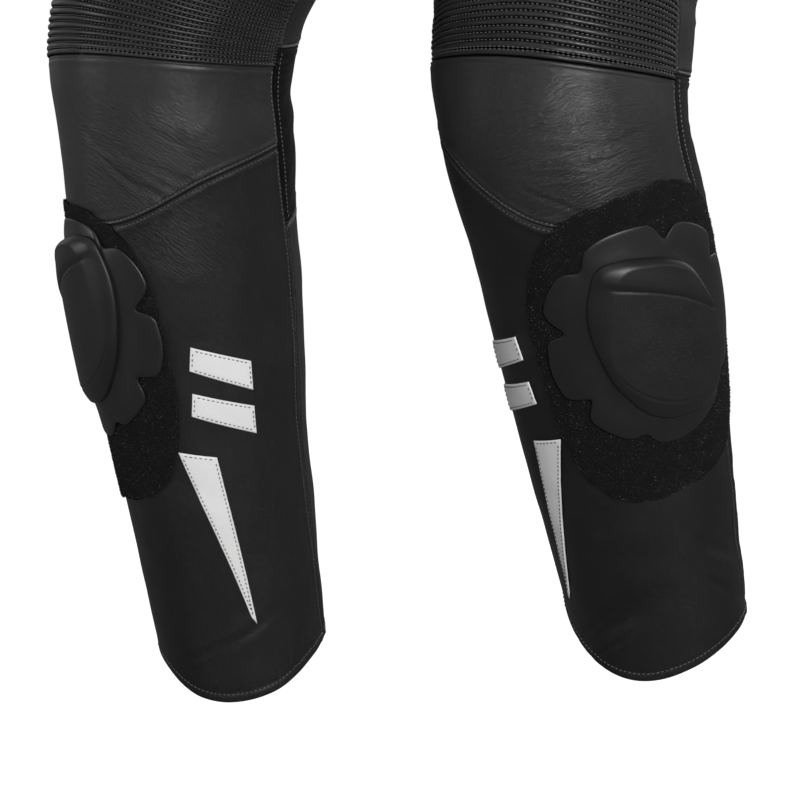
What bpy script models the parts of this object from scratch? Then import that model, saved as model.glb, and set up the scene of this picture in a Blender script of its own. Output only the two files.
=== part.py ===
"""Motorcycle race suit, worn and hollow, with the knees bent.

Metres, +Z up. The wearer faces -Y and the wearer's left is +X. The origin lies
between the shoulders, which carry the suit. Every panel is a wall cut from one
smooth surface, between two level lines and two long seams.
"""
import math

import bmesh
import bpy
import numpy as np
from mathutils import Matrix, Vector

# ---------------------------------------------------------------- sizes
SHOULDER_HEIGHT = 1.440      # origin above the wearer's floor
LEATHER = 0.0020             # wall of a leather panel with its backing
STRETCH = 0.0016             # wall of the stretch panel behind the knee
SEAM_INSET = 0.00015         # each edge stops this far short of its seam
SIDE_INSET = 0.00022         # the same on the long seams, which bend more
NORMAL_STEP = 0.002          # step for surface normals along a panel
NORMAL_TURN = 2.0            # and around it, in degrees
FRAME_STEP = 0.055           # the leg's rings lean with its path over this reach

RIBS = 16                    # padded ribs over the knee
RIB_HEIGHT = 0.0021
RIB_PROFILE = (0.0, 0.78, 1.0)   # height share at three places across a rib

PATCH_LIFT = 0.0012          # loop patch above the shin, clear of its facets
PATCH_THICK = 0.0013
BASE_THICK = 0.0021
PUCK_EDGE = 0.0020           # height of the puck's own rim
PUCK_HEIGHT = 0.0086
STRIPE_LIFT = 0.0006
STRIPE_THICK = 0.0010
LAYER_GAP = 0.0008

CROTCH_LEVEL = 0.715         # place of the crotch along the leg
CROTCH_HEIGHT = 0.795
HIP_BLEND = 0.125            # rise over which two legs become one ring
UPRIGHT_FROM = 0.560         # above here the leg's rings level out by the crotch
WAIST_LEVEL = CROTCH_LEVEL + 1.045 - CROTCH_HEIGHT
WAIST_HEIGHT = 1.045

ARMHOLE_BOTTOM = 1.285
ARMHOLE_TOP = 1.418
ARMHOLE_HALF_TURN = 31.0     # degrees of the chest, fore and aft of the side
ARMHOLE_INSET = 0.09         # degrees each trunk panel stops short of its side seam
SLEEVE_BLEND = 0.110         # length over which the armhole becomes a tube

COLLAR_OPENING = 5.0         # degrees each side of the front
COLLAR_HEIGHT = 0.034
COLLAR_FLARE = 0.06          # metres outward for each metre up
SEAM_STEP = 0.0004           # collar and cuffs stand this far proud of their seam

ZIP_BOTTOM = 0.930
ZIP_TOP_LEVEL = 1.462
ZIP_HALF_GAP = 0.0042
ZIP_TAPE_HALF = 0.0150
ZIP_TAPE_THICK = 0.0010
TAPE_GAP = 0.0006            # behind the wall of the fronts
ZIP_TAPE_SAG = 6.25          # the tape's edges bend back by this times width squared
SLIDER_LEVEL = 1.425

# Zip slider and its pull: sizes across, along the zip, and out of the chest.
SLIDER_BODY = (0.0110, 0.0150, 0.0028)
SLIDER_BODY_LIFT = 0.0017
BRIDGE = (0.0036, 0.0080, 0.0048)
BRIDGE_LIFT = 0.0048
BRIDGE_HOLE = (0.0200, 0.0034, 0.0026)
PIN_LIFT = 0.0048            # the pull's hinge line above the chest
PULL_WIRE = 0.0013           # thickness of the pull's loop
LOOP_HALF = 0.0036
LOOP_LENGTH = 0.0090
TAB = (0.0076, 0.0260, 0.0018)

FRONT_COLUMNS = 11
BACK_COLUMNS = 10
FRONT_SEAMS = ("inner", "outer")
BACK_SEAMS = ("outer", "inner again")
PANEL_WIDTH = 0.230          # about the width of a leg panel
RIB_PANEL = 0.083            # about the height of the ribbed panel
ROW_SPACING = 0.025          # about the height of a panel's row
RIB_END = 0.45               # share of a rib's height left at its sewn ends

RIGHT = -1
LEFT = 1
SIDES = ((RIGHT, "r"), (LEFT, "l"))

# Leg stations: place along the leg, sideways, fore and aft, height, turn-out.
# place, x, y, height, turn (degrees outward)
LEG_PATH = {
    RIGHT: (
        (0.000, 0.184, 0.0440, 0.1000, -9.5),
        (0.100, 0.185, 0.0245, 0.1985, -9.5),
        (0.200, 0.187, 0.0040, 0.2970, -9.5),
        (0.300, 0.187, -0.0130, 0.3955, -9.5),
        (0.360, 0.186, -0.0245, 0.4550, -9.5),
        (0.420, 0.183, -0.0340, 0.5140, -9.0),
        (0.470, 0.183, -0.0395, 0.5630, -8.5),
        (0.520, 0.176, -0.0360, 0.6120, -7.0),
        (0.620, 0.134, -0.0180, 0.7070, -3.0),
        (0.715, 0.1000, 0.0120, 0.7950, 0.0),
    ),
    LEFT: (
        (0.000, 0.145, 0.1230, 0.1280, 19.5),
        (0.100, 0.151, 0.0890, 0.2220, 19.5),
        (0.200, 0.156, 0.0535, 0.3160, 19.5),
        (0.300, 0.163, 0.0185, 0.4095, 19.5),
        (0.360, 0.1665, -0.0035, 0.4655, 19.5),
        (0.420, 0.168, -0.0275, 0.5210, 19.0),
        (0.470, 0.158, -0.0190, 0.5690, 18.0),
        (0.520, 0.148, -0.0010, 0.6150, 15.0),
        (0.620, 0.123, 0.0170, 0.7100, 7.0),
        (0.715, 0.1000, 0.0120, 0.7950, 0.0),
    ),
}

# place, half across, half deep
LEG_SECTIONS = (
    (0.000, 0.0585, 0.0615),
    (0.100, 0.0640, 0.0672),
    (0.200, 0.0707, 0.0743),
    (0.300, 0.0785, 0.0820),
    (0.360, 0.0812, 0.0848),
    (0.420, 0.0835, 0.0875),
    (0.470, 0.0865, 0.0905),
    (0.520, 0.0885, 0.0925),
    (0.620, 0.0940, 0.0985),
    (0.715, 0.0995, 0.1120),
)

# Level lines round a leg, as places along it, at turns from the leg's front:
# inner seam -92, -50, front 0, 40, outer seam 82, behind 175.
LEVEL_TURNS = (-92.0, -50.0, 0.0, 40.0, 82.0, 175.0)
LEVELS = {
    RIGHT: {
        "hem": (0.029, 0.012, 0.0135, 0.0355, 0.045, 0.050),
        "calf_top": (0.352, 0.348, 0.330, 0.326, 0.338, 0.378),
        "shin_top": (0.4125, 0.400, 0.3725, 0.370, 0.374, 0.420),
        "ribs_bottom": (0.480, 0.482, 0.481, 0.475, 0.466, 0.468),
        "knee_back_top": (0.500, 0.500, 0.490, 0.480, 0.470, 0.500),
        "ribs_top": (0.564, 0.566, 0.565, 0.559, 0.550, 0.560),
    },
    LEFT: {
        "hem": (0.086, 0.056, 0.0350, 0.0385, 0.0475, 0.065),
        "calf_top": (0.366, 0.362, 0.340, 0.334, 0.340, 0.380),
        "shin_top": (0.440, 0.421, 0.386, 0.380, 0.378, 0.422),
        "ribs_bottom": (0.478, 0.466, 0.457, 0.451, 0.4485, 0.460),
        "knee_back_top": (0.498, 0.490, 0.470, 0.456, 0.4525, 0.486),
        "ribs_top": (0.560, 0.549, 0.540, 0.534, 0.532, 0.545),
    },
}

# place, turn of the inner seam, turn of the outer seam (degrees)
LONG_SEAMS = (
    (0.000, -113.0, 104.0),
    (0.100, -104.0, 98.0),
    (0.200, -99.0, 93.0),
    (0.350, -97.0, 86.0),
    (0.420, -92.0, 83.0),
    (0.560, -92.0, 82.0),
    (0.715, -90.0, 88.0),
    (0.965, -90.0, 90.0),
)

# Body rings: level, half wide, front, back, centre, then the heights of the
# ring's side, front and back.
BODY = (
    (0.795, 0.1995, 0.1090, 0.1180, 0.008, 0.795, 0.795, 0.795),
    (0.850, 0.1965, 0.1120, 0.1240, 0.008, 0.850, 0.850, 0.850),
    (0.900, 0.1895, 0.1140, 0.1260, 0.008, 0.900, 0.900, 0.900),
    (0.970, 0.1765, 0.1130, 0.1190, 0.006, 0.970, 0.970, 0.970),
    (1.045, 0.1610, 0.1090, 0.1060, 0.004, 1.045, 1.045, 1.045),
    (1.130, 0.1640, 0.1120, 0.1050, 0.002, 1.130, 1.130, 1.130),
    (1.210, 0.1760, 0.1230, 0.1140, 0.000, 1.210, 1.210, 1.210),
    (1.285, 0.1860, 0.1270, 0.1200, 0.000, 1.285, 1.285, 1.285),
    (1.340, 0.1890, 0.1200, 0.1200, 0.000, 1.340, 1.334, 1.341),
    (1.385, 0.1870, 0.1090, 0.1140, 0.002, 1.385, 1.371, 1.388),
    (1.415, 0.1700, 0.0980, 0.1040, 0.004, 1.413, 1.394, 1.419),
    (1.435, 0.1370, 0.0880, 0.0930, 0.005, 1.431, 1.409, 1.440),
    (1.450, 0.1030, 0.0790, 0.0830, 0.005, 1.446, 1.420, 1.455),
    (1.465, 0.0760, 0.0710, 0.0740, 0.004, 1.461, 1.431, 1.469),
)

# Arm: distance from the armhole, sideways, fore and aft, height, radius.
ARM = (
    (0.000, 0.186, 0.000, 1.350, 0.0660),
    (0.110, 0.2450, 0.006, 1.2570, 0.0640),
    (0.200, 0.2930, 0.012, 1.1810, 0.0615),
    (0.270, 0.3290, 0.010, 1.1220, 0.0590),
    (0.350, 0.3520, -0.022, 1.0480, 0.0570),
    (0.430, 0.3690, -0.062, 0.9800, 0.0510),
    (0.500, 0.3820, -0.098, 0.9210, 0.0440),
    (0.545, 0.3900, -0.121, 0.8830, 0.0420),
)
CUFF_START = 0.502
CUFF_OPENING = 0.0015        # share of the cuff's ring left open at its slit
ARM_END = 0.540
SLEEVE_START = 0.0006        # the sleeve's edge, just clear of the armhole
SEAM_SHARE = 0.0008          # each sleeve panel stops this share of the ring short
ARMHOLE_POINTS = 16          # the armhole's seam has this many straight runs
UNDERARM_POINTS = 3          # of which the under panel takes these, each side

# Broad folds: side, place, turn, half length (degrees), half width, slope
# (metres per degree), depth.
FOLDS = (
    (RIGHT, 0.448, 178.0, 60.0, 0.012, 0.00000, 0.0040),
    (RIGHT, 0.414, 190.0, 50.0, 0.010, 0.00006, 0.0028),
    (RIGHT, 0.640, -40.0, 55.0, 0.016, -0.00025, 0.0030),
    (RIGHT, 0.080, 140.0, 45.0, 0.014, 0.00020, 0.0028),
    (LEFT, 0.444, 178.0, 60.0, 0.012, 0.00000, 0.0044),
    (LEFT, 0.412, 186.0, 50.0, 0.010, -0.00006, 0.0032),
    (LEFT, 0.520, 190.0, 50.0, 0.013, 0.00006, 0.0030),
    (LEFT, 0.640, -40.0, 55.0, 0.016, -0.00025, 0.0036),
    (LEFT, 0.084, -12.0, 26.0, 0.013, 0.00040, 0.0034),
    (LEFT, 0.118, 78.0, 24.0, 0.014, -0.00040, 0.0030),
)

# Hard and hook-and-loop pieces on the shin, in the shin's own metres.
SLIDER_RADIUS = 0.0780       # turns into metres across the shin
SLIDER_PLACE = {RIGHT: 0.279, LEFT: 0.285}
SLIDER_TURN = {RIGHT: 39.5, LEFT: 43.5}
PATCH_HALF = (0.0825, 0.1082)
BASE_CENTRE = (0.000, 0.014)
BASE_HALF = (0.0755, 0.0790)
PUCK_CENTRE = (0.0015, 0.0130)
PUCK_HALF = (0.0420, 0.0628)
PUCK_SKEW = 0.34             # its top leans inward by this share of its width
PUCK_TAPER = 0.02            # and is this share wider than its middle
PUCK_FLANK = 0.26            # share of the radius over which its flank rises
PUCK_LEAN = 0.10             # the flank is this much wider below and inward
# Each pad is set on by hand: its shift across and up the shin, and its turn in degrees.
PATCH_SET = {RIGHT: (0.0039, -0.0063, -4.9), LEFT: (0.0000, -0.0006, 3.8)}
BASE_SET = {RIGHT: (-0.0030, 0.0015, -2.5), LEFT: (0.0, 0.0, 0.0)}
PUCK_SET = {RIGHT: (-0.0080, 0.0070, -2.5), LEFT: (0.0, 0.0, 0.0)}
# Round the base, in degrees: the reach of its lobes and the depth of its notches.
LOBES = (
    (-45.0, 1.04), (39.0, 0.97), (63.0, 0.95), (89.0, 0.97), (115.0, 1.03), (145.0, 1.05),
    (178.0, 0.96), (193.0, 0.99), (231.0, 0.98), (246.0, 0.99), (280.0, 1.06), (315.0, 1.04),
)
NOTCHES = (
    (28.1, 0.13), (76.4, 0.12), (126.1, 0.10), (166.4, 0.18), (216.1, 0.18), (256.4, 0.08),
    (315.0, 0.13),
)
NOTCH_WIDTH = 5.5

# Shin stripes: name, then the four corners as place and turn, from the top
# inner corner round by the top outer one.
STRIPES = (
    ("stripe_long", ((0.196, -37.0), (0.203, -15.0), (0.072, -43.0), (0.066, -46.0))),
    ("stripe_high", ((0.262, -62.0), (0.280, -30.0), (0.262, -28.0), (0.240, -62.0))),
    ("stripe_low", ((0.228, -62.0), (0.245, -28.0), (0.228, -26.0), (0.207, -62.0))),
)
STRIPE_RISE = {RIGHT: 0.000, LEFT: 0.026}

# colour, roughness, metallic
FINISHES = {
    "leather": ((0.020, 0.020, 0.021), 0.46, 0.0),
    "leather_rib": ((0.018, 0.018, 0.019), 0.50, 0.0),
    "stretch": ((0.016, 0.016, 0.018), 0.85, 0.0),
    "loop": ((0.005, 0.005, 0.006), 0.95, 0.0),
    "white": ((0.800, 0.800, 0.800), 0.40, 0.0),
    "slider": ((0.022, 0.022, 0.024), 0.48, 0.0),
    "tape": ((0.012, 0.012, 0.013), 0.85, 0.0),
    "metal": ((0.300, 0.300, 0.310), 0.35, 1.0),
}


# ---------------------------------------------------------------- curves
def smooth_rows(table, place):
    """Read a table at any place, along a smooth curve through its rows."""
    rows = np.asarray(table, dtype=float)
    keys = rows[:, 0]
    values = rows[:, 1:]
    slopes = np.gradient(values, keys, axis=0)
    place = np.asarray(place, dtype=float)
    inside = np.clip(place, keys[0], keys[-1])
    index = np.clip(np.searchsorted(keys, inside, side="right") - 1, 0, len(keys) - 2)
    span = (keys[index + 1] - keys[index])[..., None]
    t = (inside - keys[index])[..., None] / span
    result = (2 * t**3 - 3 * t**2 + 1) * values[index]
    result += (t**3 - 2 * t**2 + t) * span * slopes[index]
    result += (3 * t**2 - 2 * t**3) * values[index + 1]
    result += (t**3 - t**2) * span * slopes[index + 1]
    end_slope = np.where((place < keys[0])[..., None], slopes[0], slopes[-1])
    return result + (place - inside)[..., None] * end_slope


def unit(vectors):
    return vectors / np.linalg.norm(vectors, axis=-1, keepdims=True)


def smooth_step(t):
    t = np.clip(t, 0.0, 1.0)
    return t * t * (3.0 - 2.0 * t)


def level_line(side, name, turn):
    """Place along the leg of a named level line, at a turn."""
    if name == "crotch":
        return np.full_like(np.asarray(turn, dtype=float), CROTCH_LEVEL)
    if name == "waist":
        return np.full_like(np.asarray(turn, dtype=float), WAIST_LEVEL)
    values = LEVELS[side][name]
    last_turn = LEVEL_TURNS[-1] - 360.0
    first_turn = LEVEL_TURNS[0] + 360.0
    knots = [(last_turn, values[-1])]
    knots += list(zip(LEVEL_TURNS, values))
    knots += [(first_turn, values[0]), (LEVEL_TURNS[1] + 360.0, values[1])]
    return smooth_rows(knots, turn)[..., 0]


# ---------------------------------------------------------------- surfaces
def fold_depth(side, place, turn):
    depth = np.zeros(np.broadcast(place, turn).shape)
    for fold_side, centre, middle, half_turn, half_width, slope, fold in FOLDS:
        if fold_side != side:
            continue
        away = (turn - middle + 180.0) % 360.0 - 180.0
        across = (place - centre - slope * away) / half_width
        depth += fold * np.exp(-across**2 - (away / half_turn) ** 2)
    return depth


def leg_ring(side, place, turn, lift):
    """A point of one leg, square to the leg's own path."""
    path = smooth_rows(LEG_PATH[side], place)
    ahead = smooth_rows(LEG_PATH[side], place + FRAME_STEP)
    behind = smooth_rows(LEG_PATH[side], place - FRAME_STEP)
    mirror = np.array((side, 1.0, 1.0))
    along = unit((ahead[..., :3] - behind[..., :3]) * mirror)
    upright = smooth_step((place - UPRIGHT_FROM) / (CROTCH_LEVEL - UPRIGHT_FROM))[..., None]
    along = unit(along * (1.0 - upright) + np.array((0.0, 0.0, 1.0)) * upright)
    turn_out = np.radians(path[..., 3])
    forward = np.stack(
        (side * np.sin(turn_out), -np.cos(turn_out), np.zeros_like(turn_out)), axis=-1)
    forward = unit(forward - along * np.sum(along * forward, axis=-1, keepdims=True))
    outward = side * np.cross(forward, along)
    outward *= np.sign(outward[..., :1] * side)
    section = smooth_rows(LEG_SECTIONS, place)
    sag = fold_depth(side, place, turn)
    across = section[..., 0] + lift - sag
    deep = section[..., 1] + lift - sag
    angle = np.radians(turn)
    return (path[..., :3] * mirror + outward * (across * np.sin(angle))[..., None]
            + forward * (deep * np.cos(angle))[..., None])


def body_ring(side, level, turn, lift=0.0):
    """A point of the trunk: turn 0 is its front, 90 its side, 180 its back."""
    half, front, back, centre, side_z, front_z, back_z = np.moveaxis(
        smooth_rows(BODY, level), -1, 0)
    angle = np.radians(turn)
    fore = np.cos(angle)
    faces_front = fore > 0
    deep = np.where(faces_front, front, back) + lift
    height = side_z * np.sin(angle) ** 2 + np.where(faces_front, front_z, back_z) * fore**2
    return np.stack((side * (half + lift) * np.sin(angle), centre - deep * fore, height), axis=-1)


def leg_point(side, place, turn, lift=0.0):
    """A leg's surface, which becomes half of the trunk above the crotch."""
    place, turn = np.broadcast_arrays(np.asarray(place, float), np.asarray(turn, float))
    leg = leg_ring(side, place, turn, lift)
    rise = place - CROTCH_LEVEL
    blend = np.clip(rise / HIP_BLEND, 0.0, 1.0)
    body = body_ring(side, CROTCH_HEIGHT + rise, body_turn(turn, blend), lift)
    fork = ((1.0 - np.sin(np.radians(turn))) / 2.0) ** 2
    rounded = np.sqrt(1.0 - (1.0 - blend) ** 2)
    share = (rounded * fork + smooth_step(blend) * (1.0 - fork))[..., None]
    points = leg * (1.0 - share) + body * share
    return lower_to_origin(points)


def body_turn(turn, blend):
    """Turn round the trunk for a turn round the leg.

    At the crotch it is the trunk's point beside the leg's; higher up it is even.
    """
    sideways = (1.0 + np.sin(np.radians(turn))) / 2.0
    beside = np.degrees(np.arcsin(np.clip(sideways, 0.0, 1.0)))
    beside = np.where(turn > 90.0, 180.0 - beside, beside)
    even = (turn + 90.0) / 2.0
    return beside * (1.0 - blend) + even * blend


def trunk_point(side, level, turn, lift=0.0):
    level, turn = np.broadcast_arrays(np.asarray(level, float), np.asarray(turn, float))
    return lower_to_origin(body_ring(side, level, turn, lift))


def lower_to_origin(points):
    points = np.array(points)
    points[..., 2] -= SHOULDER_HEIGHT
    return points


def armhole_edge(level):
    """Turn from the side, in degrees, at which the armhole cuts the chest."""
    middle = (ARMHOLE_TOP + ARMHOLE_BOTTOM) / 2.0
    half = (ARMHOLE_TOP - ARMHOLE_BOTTOM) / 2.0
    across = np.clip((level - middle) / half, -1.0, 1.0)
    return ARMHOLE_HALF_TURN * np.sqrt(1.0 - across**2)


def armhole_loop(side, share):
    """The armhole, from the armpit forward, over the shoulder and back."""
    angle = 2.0 * math.pi * share
    level = ARMHOLE_BOTTOM + (ARMHOLE_TOP - ARMHOLE_BOTTOM) * (1.0 - np.cos(angle)) / 2.0
    return body_ring(side, level, 90.0 - ARMHOLE_HALF_TURN * np.sin(angle))


def sleeve_point(side, distance, share, lift=0.0):
    distance, share = np.broadcast_arrays(np.asarray(distance, float), np.asarray(share, float))
    mirror = np.array((side, 1.0, 1.0))
    arm = smooth_rows(ARM, distance)
    ahead = smooth_rows(ARM, distance + NORMAL_STEP)
    behind = smooth_rows(ARM, distance - NORMAL_STEP)
    along = unit((ahead[..., :3] - behind[..., :3]) * mirror)
    forward = np.zeros_like(along)
    forward[..., 1] = -1.0
    forward = unit(forward - along * np.sum(along * forward, axis=-1, keepdims=True))
    inward = np.cross(along, forward)
    inward *= -np.sign(inward[..., :1] * side)
    angle = 2.0 * math.pi * share
    radius = arm[..., 3] + lift
    tube = arm[..., :3] * mirror
    tube = tube + inward * (radius * np.cos(angle))[..., None]
    tube = tube + forward * (radius * np.sin(angle))[..., None]
    start = armhole_loop(side, share) + along * distance[..., None]
    share_of_tube = smooth_step(distance / SLEEVE_BLEND)[..., None]
    return lower_to_origin(start * (1.0 - share_of_tube) + tube * share_of_tube)


# ---------------------------------------------------------------- meshes
def finish_material(name, finish):
    colour, roughness, metallic = FINISHES[finish]
    material = bpy.data.materials.new(name)
    material.use_nodes = True
    shader = material.node_tree.nodes["Principled BSDF"]
    shader.inputs["Base Color"].default_value = (*colour, 1.0)
    shader.inputs["Roughness"].default_value = roughness
    shader.inputs["Metallic"].default_value = metallic
    material.diffuse_color = (*colour, 1.0)
    return material


def add_object(name, mesh, finish, collection):
    mesh.materials.append(finish_material(name, finish))
    mesh.shade_smooth()
    mesh.set_sharp_from_angle(angle=math.radians(40.0))
    piece = bpy.data.objects.new(name, mesh)
    collection.objects.link(piece)
    return piece


def zip_edges(build, upper, lower):
    """Close the strip between two edges that may differ in their count."""
    i = 0
    j = 0
    while i < len(upper) - 1 or j < len(lower) - 1:
        next_upper = (i + 1) / (len(upper) - 1)
        next_lower = (j + 1) / (len(lower) - 1)
        if j == len(lower) - 1 or (i < len(upper) - 1 and next_upper <= next_lower):
            build.faces.new((upper[i + 1], upper[i], lower[j]))
            i += 1
        else:
            build.faces.new((upper[i], lower[j], lower[j + 1]))
            j += 1


def grid_faces(build, rows, flip):
    for low, high in zip(rows, rows[1:]):
        for a, b, c, d in zip(low, low[1:], high[1:], high):
            build.faces.new((d, c, b, a) if flip else (a, b, c, d))


def edge_loop(rows):
    """The grid's four edges as separate lines, in one direction round it."""
    left = [row[0] for row in rows]
    right = [row[-1] for row in rows]
    return (rows[0], right, rows[-1][::-1], left[::-1])


def wall(name, outer, inner, finish, collection):
    """A closed wall between an outer and an inner grid of points."""
    build = bmesh.new()
    skins = []
    for grid in (outer, inner):
        skins.append([[build.verts.new(point) for point in row] for row in grid])
    grid_faces(build, skins[0], False)
    grid_faces(build, skins[1], True)
    for upper, lower in zip(edge_loop(skins[0]), edge_loop(skins[1])):
        zip_edges(build, upper, lower)
    bmesh.ops.recalc_face_normals(build, faces=build.faces)
    mesh = bpy.data.meshes.new(name)
    build.to_mesh(mesh)
    build.free()
    return add_object(name, mesh, finish, collection)


def outward_normals(surface, rows, columns, side):
    """Unit normals of surface(row, column), pointing out of the cloth."""
    along = surface(rows + NORMAL_STEP, columns) - surface(rows - NORMAL_STEP, columns)
    around = surface(rows, columns + NORMAL_TURN) - surface(rows, columns - NORMAL_TURN)
    return unit(np.cross(around, along) * side)


def spread(count, low=0.0, high=1.0):
    return np.linspace(low, high, count + 1)


def inset_shares(count, length, inset):
    """Even shares from 0 to 1 whose ends stop short by an inset."""
    shares = spread(count)
    shares[0] = inset / length
    shares[-1] = 1.0 - inset / length
    return shares


# ---------------------------------------------------------------- legs
def seam_turn(which, place):
    inner, outer = np.moveaxis(smooth_rows(LONG_SEAMS, place), -1, 0)
    if which == "inner":
        return inner
    if which == "outer":
        return outer
    return inner + 360.0


def leg_cells(side, bottom, top, seams, row_shares, column_shares):
    """Places and turns of a panel's grid between two levels and two seams."""
    place = np.full((len(row_shares), len(column_shares)), 0.5)
    turn = np.zeros_like(place)
    for _ in range(4):
        first = seam_turn(seams[0], place)
        last = seam_turn(seams[1], place)
        turn = first + (last - first) * column_shares[None, :]
        low = level_line(side, bottom, turn)
        high = level_line(side, top, turn)
        place = low + (high - low) * row_shares[:, None]
    return place, turn


def chain_cells(side, chain, seams, column_shares):
    """A panel's grid through several level lines, its rows shared with its neighbours.

    The chain is level, rows, level, rows ... level.
    """
    places = []
    turns = []
    spans = list(zip(chain[0::2], chain[1::2], chain[2::2]))
    for number, (bottom, rows, top) in enumerate(spans):
        shares = spread(rows)
        if number == 0:
            shares[0] = SEAM_INSET / ROW_SPACING
        if number == len(spans) - 1:
            shares[-1] = 1.0 - SEAM_INSET / (ROW_SPACING * rows)
        place, turn = leg_cells(side, bottom, top, seams, shares, column_shares)
        first_row = 0 if number == 0 else 1
        places.append(place[first_row:])
        turns.append(turn[first_row:])
    return np.concatenate(places), np.concatenate(turns)


def keep_clear_of_centre(points, side):
    """Leave the seam, or the zip above its bottom, open at the middle."""
    points = np.array(points)
    height = points[..., 2] + SHOULDER_HEIGHT
    in_front = points[..., 1] < 0.0
    gap = np.where((height > ZIP_BOTTOM) & in_front, ZIP_HALF_GAP, SEAM_INSET)
    points[..., 0] = side * np.maximum(points[..., 0] * side, gap)
    return points


def leg_wall(name, side, place, turn, finish, thickness, collection):
    def surface(rows, turns):
        return leg_point(side, rows, turns)

    outer = surface(place, turn)
    inner = outer - outward_normals(surface, place, turn, side) * thickness
    if place.max() > CROTCH_LEVEL:
        outer = keep_clear_of_centre(outer, side)
        inner = keep_clear_of_centre(inner, side)
    return wall(name, outer, inner, finish, collection)


def rib_rows():
    """Shares up the ribbed panel, and the rib's height at each."""
    steps = len(RIB_PROFILE)
    shares = [(rib + step / steps) / RIBS for rib in range(RIBS) for step in range(steps)]
    heights = [RIB_PROFILE[step] for _ in range(RIBS) for step in range(steps)]
    return np.array(shares + [1.0]), np.array(heights + [RIB_PROFILE[0]])


def knee_accordion(name, side, columns, collection):
    """The ribbed panel over the knee: ribs outside, a plain wall inside."""
    levels = ("ribs_bottom", "ribs_top")
    row_shares, heights = rib_rows()
    row_shares[0] = SEAM_INSET / RIB_PANEL
    row_shares[-1] = 1.0 - SEAM_INSET / RIB_PANEL

    def surface(rows, turns):
        return leg_point(side, rows, turns)

    place, turn = leg_cells(side, *levels, FRONT_SEAMS, row_shares, columns)
    normals = outward_normals(surface, place, turn, side)
    edge_fade = np.ones(len(columns))
    edge_fade[0] = RIB_END
    edge_fade[-1] = RIB_END
    raised = RIB_HEIGHT * heights[:, None] * edge_fade[None, :]
    outer = surface(place, turn) + normals * raised[..., None]

    inner_rows = inset_shares(5, RIB_PANEL, SEAM_INSET)
    place, turn = leg_cells(side, *levels, FRONT_SEAMS, inner_rows, columns)
    normals = outward_normals(surface, place, turn, side)
    inner = surface(place, turn) - normals * LEATHER
    return wall(name, outer, inner, "leather_rib", collection)


def leg_panels(side, tag, collection):
    front_columns = inset_shares(FRONT_COLUMNS, PANEL_WIDTH, SIDE_INSET)
    back_columns = inset_shares(BACK_COLUMNS, PANEL_WIDTH, SIDE_INSET)
    front = (FRONT_SEAMS, front_columns)
    back = (BACK_SEAMS, back_columns)
    # name, chain of levels and rows, seams and columns, finish, thickness
    panels = (
        ("shin_front", ("hem", 10, "calf_top", 3, "shin_top"), front, "leather", LEATHER),
        ("knee_front", ("shin_top", 4, "ribs_bottom"), front, "leather", LEATHER),
        ("calf", ("hem", 10, "calf_top"), back, "leather", LEATHER),
        ("knee_back", ("calf_top", 3, "shin_top", 4, "ribs_bottom", 2, "knee_back_top"), back,
         "stretch", STRETCH),
    )
    for label, chain, (seams, columns), finish, thickness in panels:
        place, turn = chain_cells(side, chain, seams, columns)
        leg_wall(f"{label}_{tag}", side, place, turn, finish, thickness, collection)
    knee_accordion(f"knee_accordion_{tag}", side, front_columns, collection)
    thigh_panel(f"thigh_front_{tag}", side, ("ribs_top", 4, "crotch"), front, collection)
    thigh_panel(f"thigh_back_{tag}", side, ("knee_back_top", 3, "ribs_top", 4, "crotch"), back,
                collection)


def thigh_panel(name, side, chain, seams_and_columns, collection):
    """A panel from above the knee, past the crotch, up to the waist."""
    seams, columns = seams_and_columns
    place, turn = chain_cells(side, chain, seams, columns)
    bend = spread(4) * math.pi / 2.0
    rise = HIP_BLEND * (1.0 - np.cos(bend))
    top_rise = WAIST_LEVEL - CROTCH_LEVEL - SEAM_INSET
    rise = np.concatenate((rise, spread(3, HIP_BLEND, top_rise)[1:]))
    upper_place = np.repeat((CROTCH_LEVEL + rise)[:, None], len(columns), axis=1)
    first = seam_turn(seams[0], upper_place)
    last = seam_turn(seams[1], upper_place)
    upper_turn = first + (last - first) * columns[None, :]
    place = np.concatenate((place[:-1], upper_place))
    turn = np.concatenate((turn[:-1], upper_turn))
    leg_wall(name, side, place, turn, "leather", LEATHER, collection)


# ---------------------------------------------------------------- knee slider
def disc_grid(rows, columns):
    """An even square grid pressed into a disc of radius 1."""
    v, u = np.meshgrid(spread(rows, -1.0, 1.0), spread(columns, -1.0, 1.0), indexing="ij")
    return u * np.sqrt(1.0 - v**2 / 2.0), v * np.sqrt(1.0 - u**2 / 2.0)


def scallop(angle):
    """Share of the base's radius, with a notch between each two lobes."""
    degrees = (np.degrees(angle) + 45.0) % 360.0 - 45.0
    reach = smooth_rows(LOBES, degrees)[..., 0]
    for notch, depth in NOTCHES:
        away = (degrees - notch + 180.0) % 360.0 - 180.0
        reach = reach - depth * np.exp(-((away / NOTCH_WIDTH) ** 2))
    return reach


def shin_point(side, across, along, lift):
    """A point over the shin: metres outward and upward from the slider's centre."""
    turn = SLIDER_TURN[side] + np.degrees(across / SLIDER_RADIUS)
    return leg_point(side, SLIDER_PLACE[side] + along, turn, lift)


def set_down(across, along, placed):
    """Turn a pad about the slider's centre, then shift it across and up the shin."""
    turn = math.radians(placed[2])
    return (across * math.cos(turn) - along * math.sin(turn) + placed[0],
            across * math.sin(turn) + along * math.cos(turn) + placed[1])


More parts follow.
